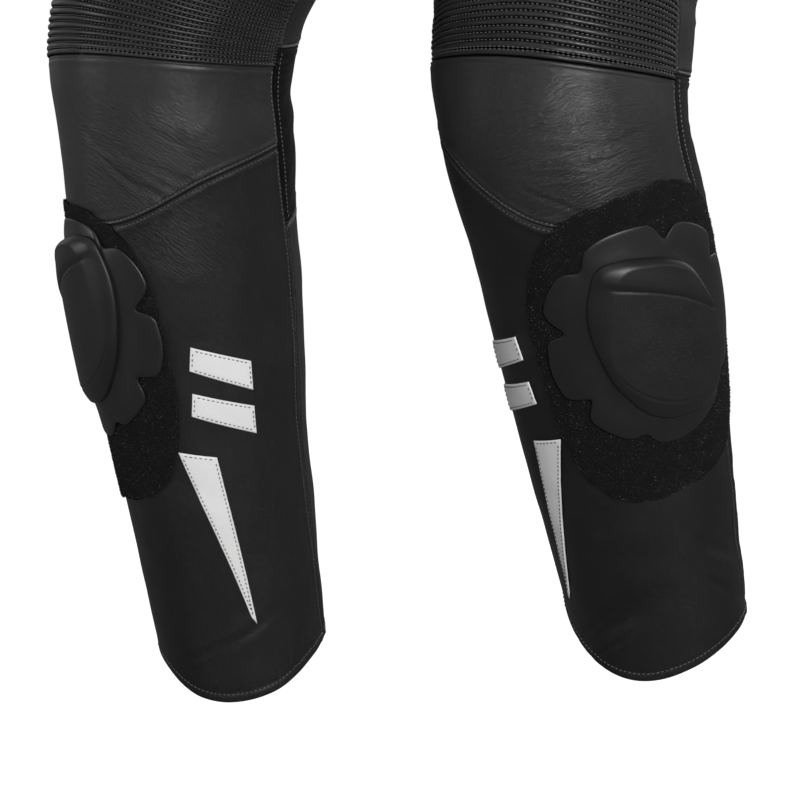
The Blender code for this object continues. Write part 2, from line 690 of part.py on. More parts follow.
def shin_pad(name, side, centre, half, counts, outline, lean, placed, bottom, height,
             finish, collection):
    """A closed piece over the shin; height is a function of the disc's two shares.

    lean is the outline's skew and taper, as shares of its half width.
    """
    u, v = disc_grid(*counts)
    radius = np.hypot(u, v)
    reach = 1.0 + (outline(np.arctan2(v, u)) - 1.0) * radius**4
    skew, taper = lean
    across = centre[0] + half[0] * (u * (1.0 + taper * v) - skew * v) * reach
    along = centre[1] + half[1] * v * reach
    across, along = set_down(across, along, placed)
    outer = shin_point(side, across, along, bottom + height(u, v))
    inner = shin_point(side, across, along, np.full_like(across, bottom))
    return wall(name, outer, inner, finish, collection)


def patch_outline(angle):
    """A rounded oblong: fuller than an ellipse at its four shoulders."""
    return 1.0 + 0.13 * np.sin(2.0 * angle) ** 2


def puck_outline(angle):
    return 1.0 + 0.08 * np.sin(2.0 * angle) ** 2


def puck_height(u, v):
    """A rounded flank, wider below and inward, under a broad crown."""
    radius = np.hypot(u, v)
    width = PUCK_FLANK - PUCK_LEAN * (0.6 * u + 0.8 * v)
    inward = np.clip((1.0 - radius) / width, 0.0, 1.0)
    flank = np.sqrt(1.0 - (1.0 - inward) ** 2)
    crown = 0.84 + 0.16 * (1.0 - radius**2) + 0.03 * v
    return PUCK_EDGE + (PUCK_HEIGHT - PUCK_EDGE) * flank * crown


def slab_height(thickness):
    return lambda u, v: np.full_like(u, thickness)


def knee_slider(side, tag, collection):
    base_bottom = PATCH_LIFT + PATCH_THICK + LAYER_GAP
    puck_bottom = base_bottom + BASE_THICK + LAYER_GAP
    shin_pad(f"slider_patch_{tag}", side, (0.0, 0.0), PATCH_HALF, (11, 10), patch_outline,
             (0.0, 0.0), PATCH_SET[side], PATCH_LIFT, slab_height(PATCH_THICK), "loop",
             collection)
    shin_pad(f"slider_base_{tag}", side, BASE_CENTRE, BASE_HALF, (12, 12), scallop,
             (0.0, 0.0), BASE_SET[side], base_bottom, slab_height(BASE_THICK), "slider",
             collection)
    shin_pad(f"slider_puck_{tag}", side, PUCK_CENTRE, PUCK_HALF, (10, 10),
             puck_outline, (PUCK_SKEW, PUCK_TAPER), PUCK_SET[side], puck_bottom, puck_height,
             "slider", collection)


def shin_stripes(side, tag, collection):
    """Flat white leather stripes sewn on the shin."""
    rise = STRIPE_RISE[side]
    for label, corners in STRIPES:
        top_inner, top_outer, low_outer, low_inner = np.asarray(corners)
        rows = spread(4)[:, None, None]
        columns = spread(4)[None, :, None]
        left = low_inner + (top_inner - low_inner) * rows
        right = low_outer + (top_outer - low_outer) * rows
        cells = left + (right - left) * columns
        place = cells[..., 0] + rise
        outer = leg_point(side, place, cells[..., 1], STRIPE_LIFT + STRIPE_THICK)
        inner = leg_point(side, place, cells[..., 1], STRIPE_LIFT)
        wall(f"{label}_{tag}", outer, inner, "white", collection)


# ---------------------------------------------------------------- trunk
def trunk_levels():
    """Rows of the trunk, closer together where the armhole turns."""
    lower = spread(4, WAIST_HEIGHT, ARMHOLE_BOTTOM)
    turns = spread(ARMHOLE_POINTS // 2) * math.pi
    middle = ARMHOLE_BOTTOM + (ARMHOLE_TOP - ARMHOLE_BOTTOM) * (1.0 - np.cos(turns)) / 2.0
    upper = spread(3, ARMHOLE_TOP, BODY[-1][0])
    levels = np.concatenate((lower, middle[1:], upper[1:]))
    levels[0] += SEAM_INSET
    levels[-1] -= SEAM_INSET
    return levels


def front_panel(name, side, collection):
    levels = trunk_levels()[:, None]
    edge = 90.0 - armhole_edge(levels) - ARMHOLE_INSET
    turn = edge * spread(8)[None, :]
    place = np.repeat(levels, turn.shape[1], axis=1)

    def surface(rows, turns):
        return trunk_point(side, rows, turns)

    outer = surface(place, turn)
    inner = outer - outward_normals(surface, place, turn, side) * LEATHER
    outer = keep_clear_of_centre(outer, side)
    inner = keep_clear_of_centre(inner, side)
    return wall(name, outer, inner, "leather", collection)


def back_panel(collection):
    levels = trunk_levels()[:, None]
    edge = 90.0 + armhole_edge(levels) + ARMHOLE_INSET
    turn = edge + (360.0 - 2.0 * edge) * spread(14)[None, :]
    place = np.repeat(levels, turn.shape[1], axis=1)

    def surface(rows, turns):
        return trunk_point(LEFT, rows, turns)

    outer = surface(place, turn)
    inner = outer - outward_normals(surface, place, turn, LEFT) * LEATHER
    return wall("back", outer, inner, "leather", collection)


def collar(collection):
    """A stand collar on the neck edge, open at the front."""
    turn = spread(18, COLLAR_OPENING, 360.0 - COLLAR_OPENING)[None, :]
    rise = spread(2, 0.0, COLLAR_HEIGHT)[:, None]
    top = BODY[-1][0]
    foot = trunk_point(LEFT, np.full_like(turn, top), turn)
    outward = trunk_point(LEFT, np.full_like(turn, top), turn, 1.0) - foot
    outward[..., 2] = 0.0
    outward = unit(outward)
    points = foot + outward * (SEAM_STEP + COLLAR_FLARE * rise)[..., None]
    points[..., 2] += rise + SEAM_INSET
    return wall("collar", points, points - outward * LEATHER, "leather", collection)


def sleeve_panel(name, side, first, last, collection):
    """One sleeve panel, between two points of the armhole's seam."""
    near = np.array((SLEEVE_START, 0.022, 0.050, 0.080))
    distance = np.concatenate((near, spread(7, 0.115, CUFF_START - SEAM_INSET)))[:, None]
    share = spread(last - first, first, last)[None, :] / ARMHOLE_POINTS
    share[0, 0] += SEAM_SHARE
    share[0, -1] -= SEAM_SHARE
    return tube_wall(name, side, distance, share, 0.0, collection)


def tube_wall(name, side, distance, share, lift, collection):
    distance, share = np.broadcast_arrays(distance, share)
    turn_share = NORMAL_TURN / 360.0

    def surface(rows, shares):
        return sleeve_point(side, rows, shares, lift)

    outer = surface(distance, share)
    along = surface(distance + NORMAL_STEP, share) - surface(distance, share)
    around = surface(distance, share + turn_share) - surface(distance, share - turn_share)
    normals = unit(np.cross(along, around) * side)
    if distance[0, 0] < SLEEVE_START + SEAM_INSET:
        normals[0] = shoulder_seam_normals(side, share[0], normals[0])
    return wall(name, outer, outer - normals * LEATHER, "leather", collection)


def shoulder_seam_normals(side, share, sleeve_normals):
    """Let the sleeve's edge face the chest's edge over the shoulder."""
    def surface(rows, turns):
        return trunk_point(side, rows, turns)

    angle = 2.0 * math.pi * share
    over = (1.0 - np.cos(angle)) / 2.0
    level = ARMHOLE_BOTTOM + (ARMHOLE_TOP - ARMHOLE_BOTTOM) * over
    chest = outward_normals(surface, level, 90.0 - ARMHOLE_HALF_TURN * np.sin(angle), side)
    return unit(chest * over[:, None] + sleeve_normals * (1.0 - over)[:, None])


def sleeves(side, tag, collection):
    under = UNDERARM_POINTS
    sleeve_panel(f"sleeve_outer_{tag}", side, under, ARMHOLE_POINTS - under, collection)
    sleeve_panel(f"sleeve_under_{tag}", side, -under, under, collection)
    distance = spread(1, CUFF_START + SEAM_INSET, ARM_END)[:, None]
    share = spread(16, 0.25 + CUFF_OPENING, 1.25 - CUFF_OPENING)[None, :]
    tube_wall(f"cuff_{tag}", side, distance, share, SEAM_STEP, collection)


# ---------------------------------------------------------------- zip
def zip_line(level):
    """The zip's line down the front, and its outward normal."""
    point = trunk_point(LEFT, level, 0.0)
    step = trunk_point(LEFT, level + NORMAL_STEP, 0.0) - trunk_point(
        LEFT, level - NORMAL_STEP, 0.0)
    up = unit(step)
    return point, up, np.cross(np.broadcast_to((1.0, 0.0, 0.0), up.shape), up)


def zip_tape(collection):
    """The tape behind the open edges of the two fronts."""
    level = spread(20, ZIP_BOTTOM + 0.002, ZIP_TOP_LEVEL)
    columns = spread(1, -ZIP_TAPE_HALF, ZIP_TAPE_HALF)
    middle, _, normal = zip_line(level)
    depth = LEATHER + TAPE_GAP
    across = np.zeros((len(level), len(columns), 3))
    across[..., 0] = columns[None, :]
    sag = (columns**2 * ZIP_TAPE_SAG)[None, :, None]
    outer = middle[:, None, :] + across - normal[:, None, :] * (depth + sag)
    inner = outer - normal[:, None, :] * ZIP_TAPE_THICK
    return wall("zip_tape", outer, inner, "tape", collection)


def frame_at(level, lift):
    """Axes of the zip at a level: X across, Y up the zip, Z out of the chest."""
    point, up, normal = zip_line(np.array(level))
    columns = (Vector((1.0, 0.0, 0.0)), Vector(up), Vector(normal))
    turn = Matrix(columns).transposed().to_4x4()
    return Matrix.Translation(Vector(point) + Vector(normal) * lift) @ turn


def box(name, size, centre, collection):
    build = bmesh.new()
    bmesh.ops.create_cube(build, size=1.0)
    bmesh.ops.scale(build, verts=build.verts, vec=size)
    bmesh.ops.translate(build, verts=build.verts, vec=centre)
    mesh = bpy.data.meshes.new(name)
    build.to_mesh(mesh)
    build.free()
    piece = bpy.data.objects.new(name, mesh)
    collection.objects.link(piece)
    return piece


def combine(target, other, operation):
    step = target.modifiers.new(other.name, "BOOLEAN")
    step.operation = operation
    step.object = other
    step.solver = "EXACT"
    other.hide_render = True
    other.display_type = "WIRE"


def zip_slider(collection, cutters):
    """Slider body with a bridge, and the loop of the pull through it."""
    frame = frame_at(SLIDER_LEVEL, 0.0)
    body = box("zip_slider", SLIDER_BODY, (0.0, 0.0, SLIDER_BODY_LIFT), collection)
    bridge = box("slider_bridge", BRIDGE, (0.0, 0.0, BRIDGE_LIFT), cutters)
    hole = box("slider_hole", BRIDGE_HOLE, (0.0, 0.0, PIN_LIFT), cutters)
    combine(body, bridge, "UNION")
    combine(body, hole, "DIFFERENCE")
    for piece in (body, bridge, hole):
        piece.matrix_world = frame
    body.data.materials.append(finish_material("zip_slider", "metal"))

    loop_middle = (0.0, PULL_WIRE / 2.0 - LOOP_LENGTH / 2.0, 0.0)
    pull = box("zip_pull", (2.0 * (LOOP_HALF + PULL_WIRE), LOOP_LENGTH, PULL_WIRE), loop_middle,
               collection)
    window = box("pull_window", (2.0 * LOOP_HALF, LOOP_LENGTH - 2.0 * PULL_WIRE, 0.01),
                 loop_middle, cutters)
    tab = box("pull_tab", TAB, (0.0, PULL_WIRE - LOOP_LENGTH - TAB[1] / 2.0, 0.0), cutters)
    combine(pull, window, "DIFFERENCE")
    combine(pull, tab, "UNION")
    hinge = frame @ Matrix.Translation((0.0, 0.0, PIN_LIFT))
    for piece in (pull, window, tab):
        piece.matrix_world = hinge
    pull.data.materials.append(finish_material("zip_pull", "metal"))


# ---------------------------------------------------------------- build
def main():
    for old in list(bpy.data.objects):
        bpy.data.objects.remove(old)
    suit = bpy.data.collections.new("race_suit")
    cutters = bpy.data.collections.new("cutters")
    bpy.context.scene.collection.children.link(suit)
    bpy.context.scene.collection.children.link(cutters)
    for side, tag in SIDES:
        leg_panels(side, tag, suit)
        knee_slider(side, tag, suit)
        shin_stripes(side, tag, suit)
        front_panel(f"front_{tag}", side, suit)
        sleeves(side, tag, suit)
    back_panel(suit)
    collar(suit)
    zip_tape(suit)
    zip_slider(suit, cutters)


main()
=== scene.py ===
"""Looks of the race suit: leather shells, seams, stitching, knee sliders and a plain studio.

Every shell follows the surface of the solid that it stands for. The suit's own
sizes are repeated here in metres, because nothing but the frame is read.
"""
import math
from functools import partial

import bmesh
import bpy
import numpy as np
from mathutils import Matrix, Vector

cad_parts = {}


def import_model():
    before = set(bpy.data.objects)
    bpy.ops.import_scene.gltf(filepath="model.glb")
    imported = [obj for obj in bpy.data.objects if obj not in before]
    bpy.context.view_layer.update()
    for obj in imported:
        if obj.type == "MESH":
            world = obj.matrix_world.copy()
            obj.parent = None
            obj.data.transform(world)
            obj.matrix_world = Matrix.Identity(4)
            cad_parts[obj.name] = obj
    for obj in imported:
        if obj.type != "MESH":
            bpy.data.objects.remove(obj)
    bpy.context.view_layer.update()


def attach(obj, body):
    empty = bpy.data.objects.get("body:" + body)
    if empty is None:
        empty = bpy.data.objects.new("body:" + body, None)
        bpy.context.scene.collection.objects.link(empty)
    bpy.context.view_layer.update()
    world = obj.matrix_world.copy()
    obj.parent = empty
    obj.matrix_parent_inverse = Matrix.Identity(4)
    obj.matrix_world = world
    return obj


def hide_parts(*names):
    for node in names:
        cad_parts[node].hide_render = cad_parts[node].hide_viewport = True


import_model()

# ---------------------------------------------------------------- the suit's sizes
SHOULDER_HEIGHT = 1.440
LEATHER = 0.0020
STRETCH = 0.0016
SEAM_INSET = 0.00015
NORMAL_STEP = 0.002
NORMAL_TURN = 2.0
FRAME_STEP = 0.055

RIBS = 22
RIB_HEIGHT = 0.0019
PATCH_LIFT = 0.0012
PATCH_THICK = 0.0013
BASE_THICK = 0.0021
PUCK_EDGE = 0.0020
PUCK_HEIGHT = 0.0086
STRIPE_LIFT = 0.0006
STRIPE_THICK = 0.0010
LAYER_GAP = 0.0008

CROTCH_LEVEL = 0.715
CROTCH_HEIGHT = 0.795
HIP_BLEND = 0.125
UPRIGHT_FROM = 0.560
WAIST_HEIGHT = 1.045
WAIST_LEVEL = CROTCH_LEVEL + WAIST_HEIGHT - CROTCH_HEIGHT

ARMHOLE_BOTTOM = 1.285
ARMHOLE_TOP = 1.418
ARMHOLE_HALF_TURN = 31.0
ARMHOLE_INSET = 0.09
ARMHOLE_POINTS = 16
UNDERARM_POINTS = 3
SLEEVE_BLEND = 0.110
SLEEVE_START = 0.0006
CUFF_START = 0.502
CUFF_OPENING = 0.0015
ARM_END = 0.540

COLLAR_OPENING = 5.0
COLLAR_HEIGHT = 0.034
COLLAR_FLARE = 0.06
COLLAR_SINK = 0.0014         # its foot is pressed down into the neck seam
SEAM_STEP = 0.0004
ZIP_BOTTOM = 0.930
ZIP_TOP_LEVEL = 1.462
ZIP_HALF_GAP = 0.0042
CENTRE_GAP = -0.00012        # the two halves are pressed together by their middle seam
SLIDER_LEVEL = 1.425

RIGHT = -1
LEFT = 1
SIDES = ((RIGHT, "r"), (LEFT, "l"))

# place along the leg, sideways, fore and aft, height, turn-out
LEG_PATH = {
    RIGHT: (
        (0.000, 0.184, 0.0440, 0.1000, -9.5),
        (0.100, 0.185, 0.0245, 0.1985, -9.5),
        (0.200, 0.187, 0.0040, 0.2970, -9.5),
        (0.300, 0.187, -0.0130, 0.3955, -9.5),
        (0.360, 0.186, -0.0245, 0.4550, -9.5),
        (0.420, 0.183, -0.0340, 0.5140, -9.0),
        (0.470, 0.183, -0.0395, 0.5630, -8.5),
        (0.520, 0.176, -0.0360, 0.6120, -7.0),
        (0.620, 0.134, -0.0180, 0.7070, -3.0),
        (0.715, 0.1000, 0.0120, 0.7950, 0.0),
    ),
    LEFT: (
        (0.000, 0.145, 0.1230, 0.1280, 19.5),
        (0.100, 0.151, 0.0890, 0.2220, 19.5),
        (0.200, 0.156, 0.0535, 0.3160, 19.5),
        (0.300, 0.163, 0.0185, 0.4095, 19.5),
        (0.360, 0.1665, -0.0035, 0.4655, 19.5),
        (0.420, 0.168, -0.0275, 0.5210, 19.0),
        (0.470, 0.158, -0.0190, 0.5690, 18.0),
        (0.520, 0.148, -0.0010, 0.6150, 15.0),
        (0.620, 0.123, 0.0170, 0.7100, 7.0),
        (0.715, 0.1000, 0.0120, 0.7950, 0.0),
    ),
}
# place, half across, half deep
LEG_SECTIONS = (
    (0.000, 0.0585, 0.0615),
    (0.100, 0.0640, 0.0672),
    (0.200, 0.0707, 0.0743),
    (0.300, 0.0785, 0.0820),
    (0.360, 0.0812, 0.0848),
    (0.420, 0.0835, 0.0875),
    (0.470, 0.0865, 0.0905),
    (0.520, 0.0885, 0.0925),
    (0.620, 0.0940, 0.0985),
    (0.715, 0.0995, 0.1120),
)
# Level lines as places along the leg at these turns from the leg's front.
LEVEL_TURNS = (-92.0, -50.0, 0.0, 40.0, 82.0, 175.0)
LEVELS = {
    RIGHT: {
        "hem": (0.029, 0.012, 0.0135, 0.0355, 0.045, 0.050),
        "calf_top": (0.352, 0.348, 0.330, 0.326, 0.338, 0.378),
        "shin_top": (0.4125, 0.400, 0.3725, 0.370, 0.374, 0.420),
        "ribs_bottom": (0.480, 0.482, 0.481, 0.475, 0.466, 0.468),
        "knee_back_top": (0.500, 0.500, 0.490, 0.480, 0.470, 0.500),
        "ribs_top": (0.564, 0.566, 0.565, 0.559, 0.550, 0.560),
    },
    LEFT: {
        "hem": (0.086, 0.056, 0.0350, 0.0385, 0.0475, 0.065),
        "calf_top": (0.366, 0.362, 0.340, 0.334, 0.340, 0.380),
        "shin_top": (0.440, 0.421, 0.386, 0.380, 0.378, 0.422),
        "ribs_bottom": (0.478, 0.466, 0.457, 0.451, 0.4485, 0.460),
        "knee_back_top": (0.498, 0.490, 0.470, 0.456, 0.4525, 0.486),
        "ribs_top": (0.560, 0.549, 0.540, 0.534, 0.532, 0.545),
    },
}
# place, turn of the inner seam, turn of the outer seam
LONG_SEAMS = (
    (0.000, -113.0, 104.0),
    (0.100, -104.0, 98.0),
    (0.200, -99.0, 93.0),
    (0.350, -97.0, 86.0),
    (0.420, -92.0, 83.0),
    (0.560, -92.0, 82.0),
    (0.715, -90.0, 88.0),
    (0.965, -90.0, 90.0),
)
# level, half wide, front, back, centre, heights of the side, front and back
BODY = (
    (0.795, 0.1995, 0.1090, 0.1180, 0.008, 0.795, 0.795, 0.795),
    (0.850, 0.1965, 0.1120, 0.1240, 0.008, 0.850, 0.850, 0.850),
    (0.900, 0.1895, 0.1140, 0.1260, 0.008, 0.900, 0.900, 0.900),
    (0.970, 0.1765, 0.1130, 0.1190, 0.006, 0.970, 0.970, 0.970),
    (1.045, 0.1610, 0.1090, 0.1060, 0.004, 1.045, 1.045, 1.045),
    (1.130, 0.1640, 0.1120, 0.1050, 0.002, 1.130, 1.130, 1.130),
    (1.210, 0.1760, 0.1230, 0.1140, 0.000, 1.210, 1.210, 1.210),
    (1.285, 0.1860, 0.1270, 0.1200, 0.000, 1.285, 1.285, 1.285),
    (1.340, 0.1890, 0.1200, 0.1200, 0.000, 1.340, 1.334, 1.341),
    (1.385, 0.1870, 0.1090, 0.1140, 0.002, 1.385, 1.371, 1.388),
    (1.415, 0.1700, 0.0980, 0.1040, 0.004, 1.413, 1.394, 1.419),
    (1.435, 0.1370, 0.0880, 0.0930, 0.005, 1.431, 1.409, 1.440),
    (1.450, 0.1030, 0.0790, 0.0830, 0.005, 1.446, 1.420, 1.455),
    (1.465, 0.0760, 0.0710, 0.0740, 0.004, 1.461, 1.431, 1.469),
)
# distance from the armhole, sideways, fore and aft, height, radius
ARM = (
    (0.000, 0.186, 0.000, 1.350, 0.0660),
    (0.110, 0.2450, 0.006, 1.2570, 0.0640),
    (0.200, 0.2930, 0.012, 1.1810, 0.0615),
    (0.270, 0.3290, 0.010, 1.1220, 0.0590),
    (0.350, 0.3520, -0.022, 1.0480, 0.0570),
    (0.430, 0.3690, -0.062, 0.9800, 0.0510),
    (0.500, 0.3820, -0.098, 0.9210, 0.0440),
    (0.545, 0.3900, -0.121, 0.8830, 0.0420),
)
# side, place, turn, half length in degrees, half width, slope, depth
FOLDS = (
    (RIGHT, 0.448, 178.0, 60.0, 0.012, 0.00000, 0.0040),
    (RIGHT, 0.414, 190.0, 50.0, 0.010, 0.00006, 0.0028),
    (RIGHT, 0.640, -40.0, 55.0, 0.016, -0.00025, 0.0030),
    (RIGHT, 0.080, 140.0, 45.0, 0.014, 0.00020, 0.0028),
    (LEFT, 0.444, 178.0, 60.0, 0.012, 0.00000, 0.0044),
    (LEFT, 0.412, 186.0, 50.0, 0.010, -0.00006, 0.0032),
    (LEFT, 0.520, 190.0, 50.0, 0.013, 0.00006, 0.0030),
    (LEFT, 0.640, -40.0, 55.0, 0.016, -0.00025, 0.0036),
    (LEFT, 0.084, -12.0, 26.0, 0.013, 0.00040, 0.0034),
    (LEFT, 0.118, 78.0, 24.0, 0.014, -0.00040, 0.0030),
)
SLIDER_RADIUS = 0.0780
SLIDER_PLACE = {RIGHT: 0.279, LEFT: 0.285}
SLIDER_TURN = {RIGHT: 39.5, LEFT: 43.5}
PATCH_HALF = (0.0825, 0.1082)
BASE_CENTRE = (0.000, 0.014)
BASE_HALF = (0.0755, 0.0790)
PUCK_CENTRE = (0.0015, 0.0130)
PUCK_HALF = (0.0420, 0.0628)
PUCK_SKEW = 0.34
PUCK_TAPER = 0.02
# Shift across and up the shin, and turn in degrees, of each pad.
PATCH_SET = {RIGHT: (0.0039, -0.0063, -4.9), LEFT: (0.0000, -0.0006, 3.8)}
BASE_SET = {RIGHT: (-0.0030, 0.0015, -2.5), LEFT: (0.0, 0.0, 0.0)}
PUCK_SET = {RIGHT: (-0.0080, 0.0070, -2.5), LEFT: (0.0, 0.0, 0.0)}
LOBES = (
    (-45.0, 1.04), (39.0, 0.97), (63.0, 0.95), (89.0, 0.97), (115.0, 1.03), (145.0, 1.05),
    (178.0, 0.96), (193.0, 0.99), (231.0, 0.98), (246.0, 0.99), (280.0, 1.06), (315.0, 1.04),
)
NOTCHES = (
    (28.1, 0.13), (76.4, 0.12), (126.1, 0.10), (166.4, 0.18), (216.1, 0.18), (256.4, 0.08),
    (315.0, 0.13),
)
NOTCH_WIDTH = 5.5
STRIPES = (
    ("stripe_long", ((0.196, -37.0), (0.203, -15.0), (0.072, -43.0), (0.066, -46.0))),
    ("stripe_high", ((0.262, -62.0), (0.280, -30.0), (0.262, -28.0), (0.240, -62.0))),
    ("stripe_low", ((0.228, -62.0), (0.245, -28.0), (0.228, -26.0), (0.207, -62.0))),
)
STRIPE_RISE = {RIGHT: 0.000, LEFT: 0.026}

# ---------------------------------------------------------------- sizes of the finish
EDGE_STEPS = (0.0, 0.00035, 0.0008, 0.0013, 0.0018, 0.0023, 0.0028, 0.0035, 0.0045, 0.0060)
STITCH_ROW = 0.0023          # a stitch row's distance from its seam
STITCH_PITCH = 0.0033
STITCH_LENGTH = 0.0025
THREAD = 0.00040             # radius of the thread
HEM_ROW = 0.0060
STRIPE_ROW = 0.0018
ROW_TRIM = 0.0015            # a stitch row stops this short of a corner
RELIEF_FLOOR = -0.0013       # how deep a hollow may reach into leather
THIN_FLOOR = -0.0008         # and into a thinner cloth
DEGREES_TO_METRES = 0.00145  # a degree round the leg, about
TRUNK_DEGREE = 0.0027        # and round the trunk
TRUNK_ROUND = 0.972          # once round the trunk
ARM_DEGREE = 0.0010
COLLAR_DEGREE = 0.0013

# Steps of the panels' grids, as fine as the relief on each needs.
SHIN_STEP = 0.0023
CALF_STEP = 0.0036
KNEE_STEP = 0.00135
STRETCH_STEP = 0.0024
RIB_PANEL_STEP = 0.0024
THIGH_FRONT_STEP = 0.0042
THIGH_BACK_STEP = 0.0044
TRUNK_STEP = 0.0048
BACK_STEP = 0.0050
SLEEVE_STEP = 0.0048
SLEEVE_ROUND_STEP = 0.0046
CUFF_ROUND_STEP = 0.0030
TRIM_STEP = 0.0022


# ---------------------------------------------------------------- curves
def smooth_rows(table, place):
    """Read a table at any place, along a smooth curve through its rows."""
    rows = np.asarray(table, dtype=float)
    keys = rows[:, 0]
    values = rows[:, 1:]
    slopes = np.gradient(values, keys, axis=0)
    place = np.asarray(place, dtype=float)
    inside = np.clip(place, keys[0], keys[-1])
    index = np.clip(np.searchsorted(keys, inside, side="right") - 1, 0, len(keys) - 2)
    span = (keys[index + 1] - keys[index])[..., None]
    t = (inside - keys[index])[..., None] / span
    result = (2 * t**3 - 3 * t**2 + 1) * values[index]
    result += (t**3 - 2 * t**2 + t) * span * slopes[index]
    result += (3 * t**2 - 2 * t**3) * values[index + 1]
    result += (t**3 - t**2) * span * slopes[index + 1]
    end_slope = np.where((place < keys[0])[..., None], slopes[0], slopes[-1])
    return result + (place - inside)[..., None] * end_slope


def unit(vectors):
    return vectors / np.maximum(np.linalg.norm(vectors, axis=-1, keepdims=True), 1e-12)


def smooth_step(t):
    t = np.clip(t, 0.0, 1.0)
    return t * t * (3.0 - 2.0 * t)


def bell(t):
    return np.exp(-np.asarray(t) ** 2)


def turn_between(turn, middle):
    """Degrees from the middle to a turn, the short way round."""
    return (turn - middle + 180.0) % 360.0 - 180.0


def square_to(along, vectors):
    """Unit vectors, with what lies along the first taken out."""
    return unit(vectors - along * np.sum(along * vectors, axis=-1, keepdims=True))


def level_line(side, name, turn):
    if name == "crotch":
        return np.full_like(np.asarray(turn, dtype=float), CROTCH_LEVEL)
    if name == "waist":
        return np.full_like(np.asarray(turn, dtype=float), WAIST_LEVEL)
    values = LEVELS[side][name]
    knots = [(LEVEL_TURNS[-1] - 360.0, values[-1])]
    knots += list(zip(LEVEL_TURNS, values))
    knots += [(LEVEL_TURNS[0] + 360.0, values[0]), (LEVEL_TURNS[1] + 360.0, values[1])]
    return smooth_rows(knots, turn)[..., 0]


def seam_turn(which, place):
    inner, outer = np.moveaxis(smooth_rows(LONG_SEAMS, place), -1, 0)
    if which == "inner":
        return inner
    if which == "outer":
        return outer
    return inner + 360.0


# ---------------------------------------------------------------- the suit's surface
def fold_depth(side, place, turn):
    depth = np.zeros(np.broadcast(place, turn).shape)
    for fold_side, centre, middle, half_turn, half_width, slope, fold in FOLDS:
        if fold_side == side:
            away = turn_between(turn, middle)
            across = bell((place - centre - slope * away) / half_width)
            depth += fold * across * bell(away / half_turn)
    return depth


def leg_ring(side, place, turn, lift):
    path = smooth_rows(LEG_PATH[side], place)
    ahead = smooth_rows(LEG_PATH[side], place + FRAME_STEP)
    behind = smooth_rows(LEG_PATH[side], place - FRAME_STEP)
    mirror = np.array((side, 1.0, 1.0))
    along = unit((ahead[..., :3] - behind[..., :3]) * mirror)
    upright = smooth_step((place - UPRIGHT_FROM) / (CROTCH_LEVEL - UPRIGHT_FROM))[..., None]
    along = unit(along * (1.0 - upright) + np.array((0.0, 0.0, 1.0)) * upright)
    turn_out = np.radians(path[..., 3])
    forward = np.stack(
        (side * np.sin(turn_out), -np.cos(turn_out), np.zeros_like(turn_out)), axis=-1)
    forward = square_to(along, forward)
    outward = side * np.cross(forward, along)
    outward *= np.sign(outward[..., :1] * side)
    section = smooth_rows(LEG_SECTIONS, place)
    sag = fold_depth(side, place, turn)
    across = section[..., 0] + lift - sag
    deep = section[..., 1] + lift - sag
    angle = np.radians(turn)
    return (path[..., :3] * mirror + outward * (across * np.sin(angle))[..., None]
            + forward * (deep * np.cos(angle))[..., None])


def body_ring(side, level, turn, lift=0.0):
    half, front, back, centre, side_z, front_z, back_z = np.moveaxis(
        smooth_rows(BODY, level), -1, 0)
    angle = np.radians(turn)
    fore = np.cos(angle)
    deep = np.where(fore > 0, front, back) + lift
    height = side_z * np.sin(angle) ** 2 + np.where(fore > 0, front_z, back_z) * fore**2
    return np.stack((side * (half + lift) * np.sin(angle), centre - deep * fore, height), axis=-1)


def body_turn(turn, blend):
    sideways = (1.0 + np.sin(np.radians(turn))) / 2.0
    beside = np.degrees(np.arcsin(np.clip(sideways, 0.0, 1.0)))
    beside = np.where(turn > 90.0, 180.0 - beside, beside)
    return beside * (1.0 - blend) + (turn + 90.0) / 2.0 * blend


def lowered(points):
    points = np.array(points)
    points[..., 2] -= SHOULDER_HEIGHT
    return points


def leg_point(side, place, turn, lift=0.0):
    place, turn = np.broadcast_arrays(np.asarray(place, float), np.asarray(turn, float))
    leg = leg_ring(side, place, turn, lift)
    rise = place - CROTCH_LEVEL
    blend = np.clip(rise / HIP_BLEND, 0.0, 1.0)
    body = body_ring(side, CROTCH_HEIGHT + rise, body_turn(turn, blend), lift)
    fork = ((1.0 - np.sin(np.radians(turn))) / 2.0) ** 2
    rounded = np.sqrt(1.0 - (1.0 - blend) ** 2)
    share = (rounded * fork + smooth_step(blend) * (1.0 - fork))[..., None]
    return lowered(leg * (1.0 - share) + body * share)


def trunk_point(side, level, turn, lift=0.0):
    level, turn = np.broadcast_arrays(np.asarray(level, float), np.asarray(turn, float))
    return lowered(body_ring(side, level, turn, lift))


def armhole_edge(level):
    middle = (ARMHOLE_TOP + ARMHOLE_BOTTOM) / 2.0
    half = (ARMHOLE_TOP - ARMHOLE_BOTTOM) / 2.0
    across = np.clip((level - middle) / half, -1.0, 1.0)
    return ARMHOLE_HALF_TURN * np.sqrt(1.0 - across**2)


def armhole_loop(side, share):
    angle = 2.0 * math.pi * share
    level = ARMHOLE_BOTTOM + (ARMHOLE_TOP - ARMHOLE_BOTTOM) * (1.0 - np.cos(angle)) / 2.0
    return body_ring(side, level, 90.0 - ARMHOLE_HALF_TURN * np.sin(angle))


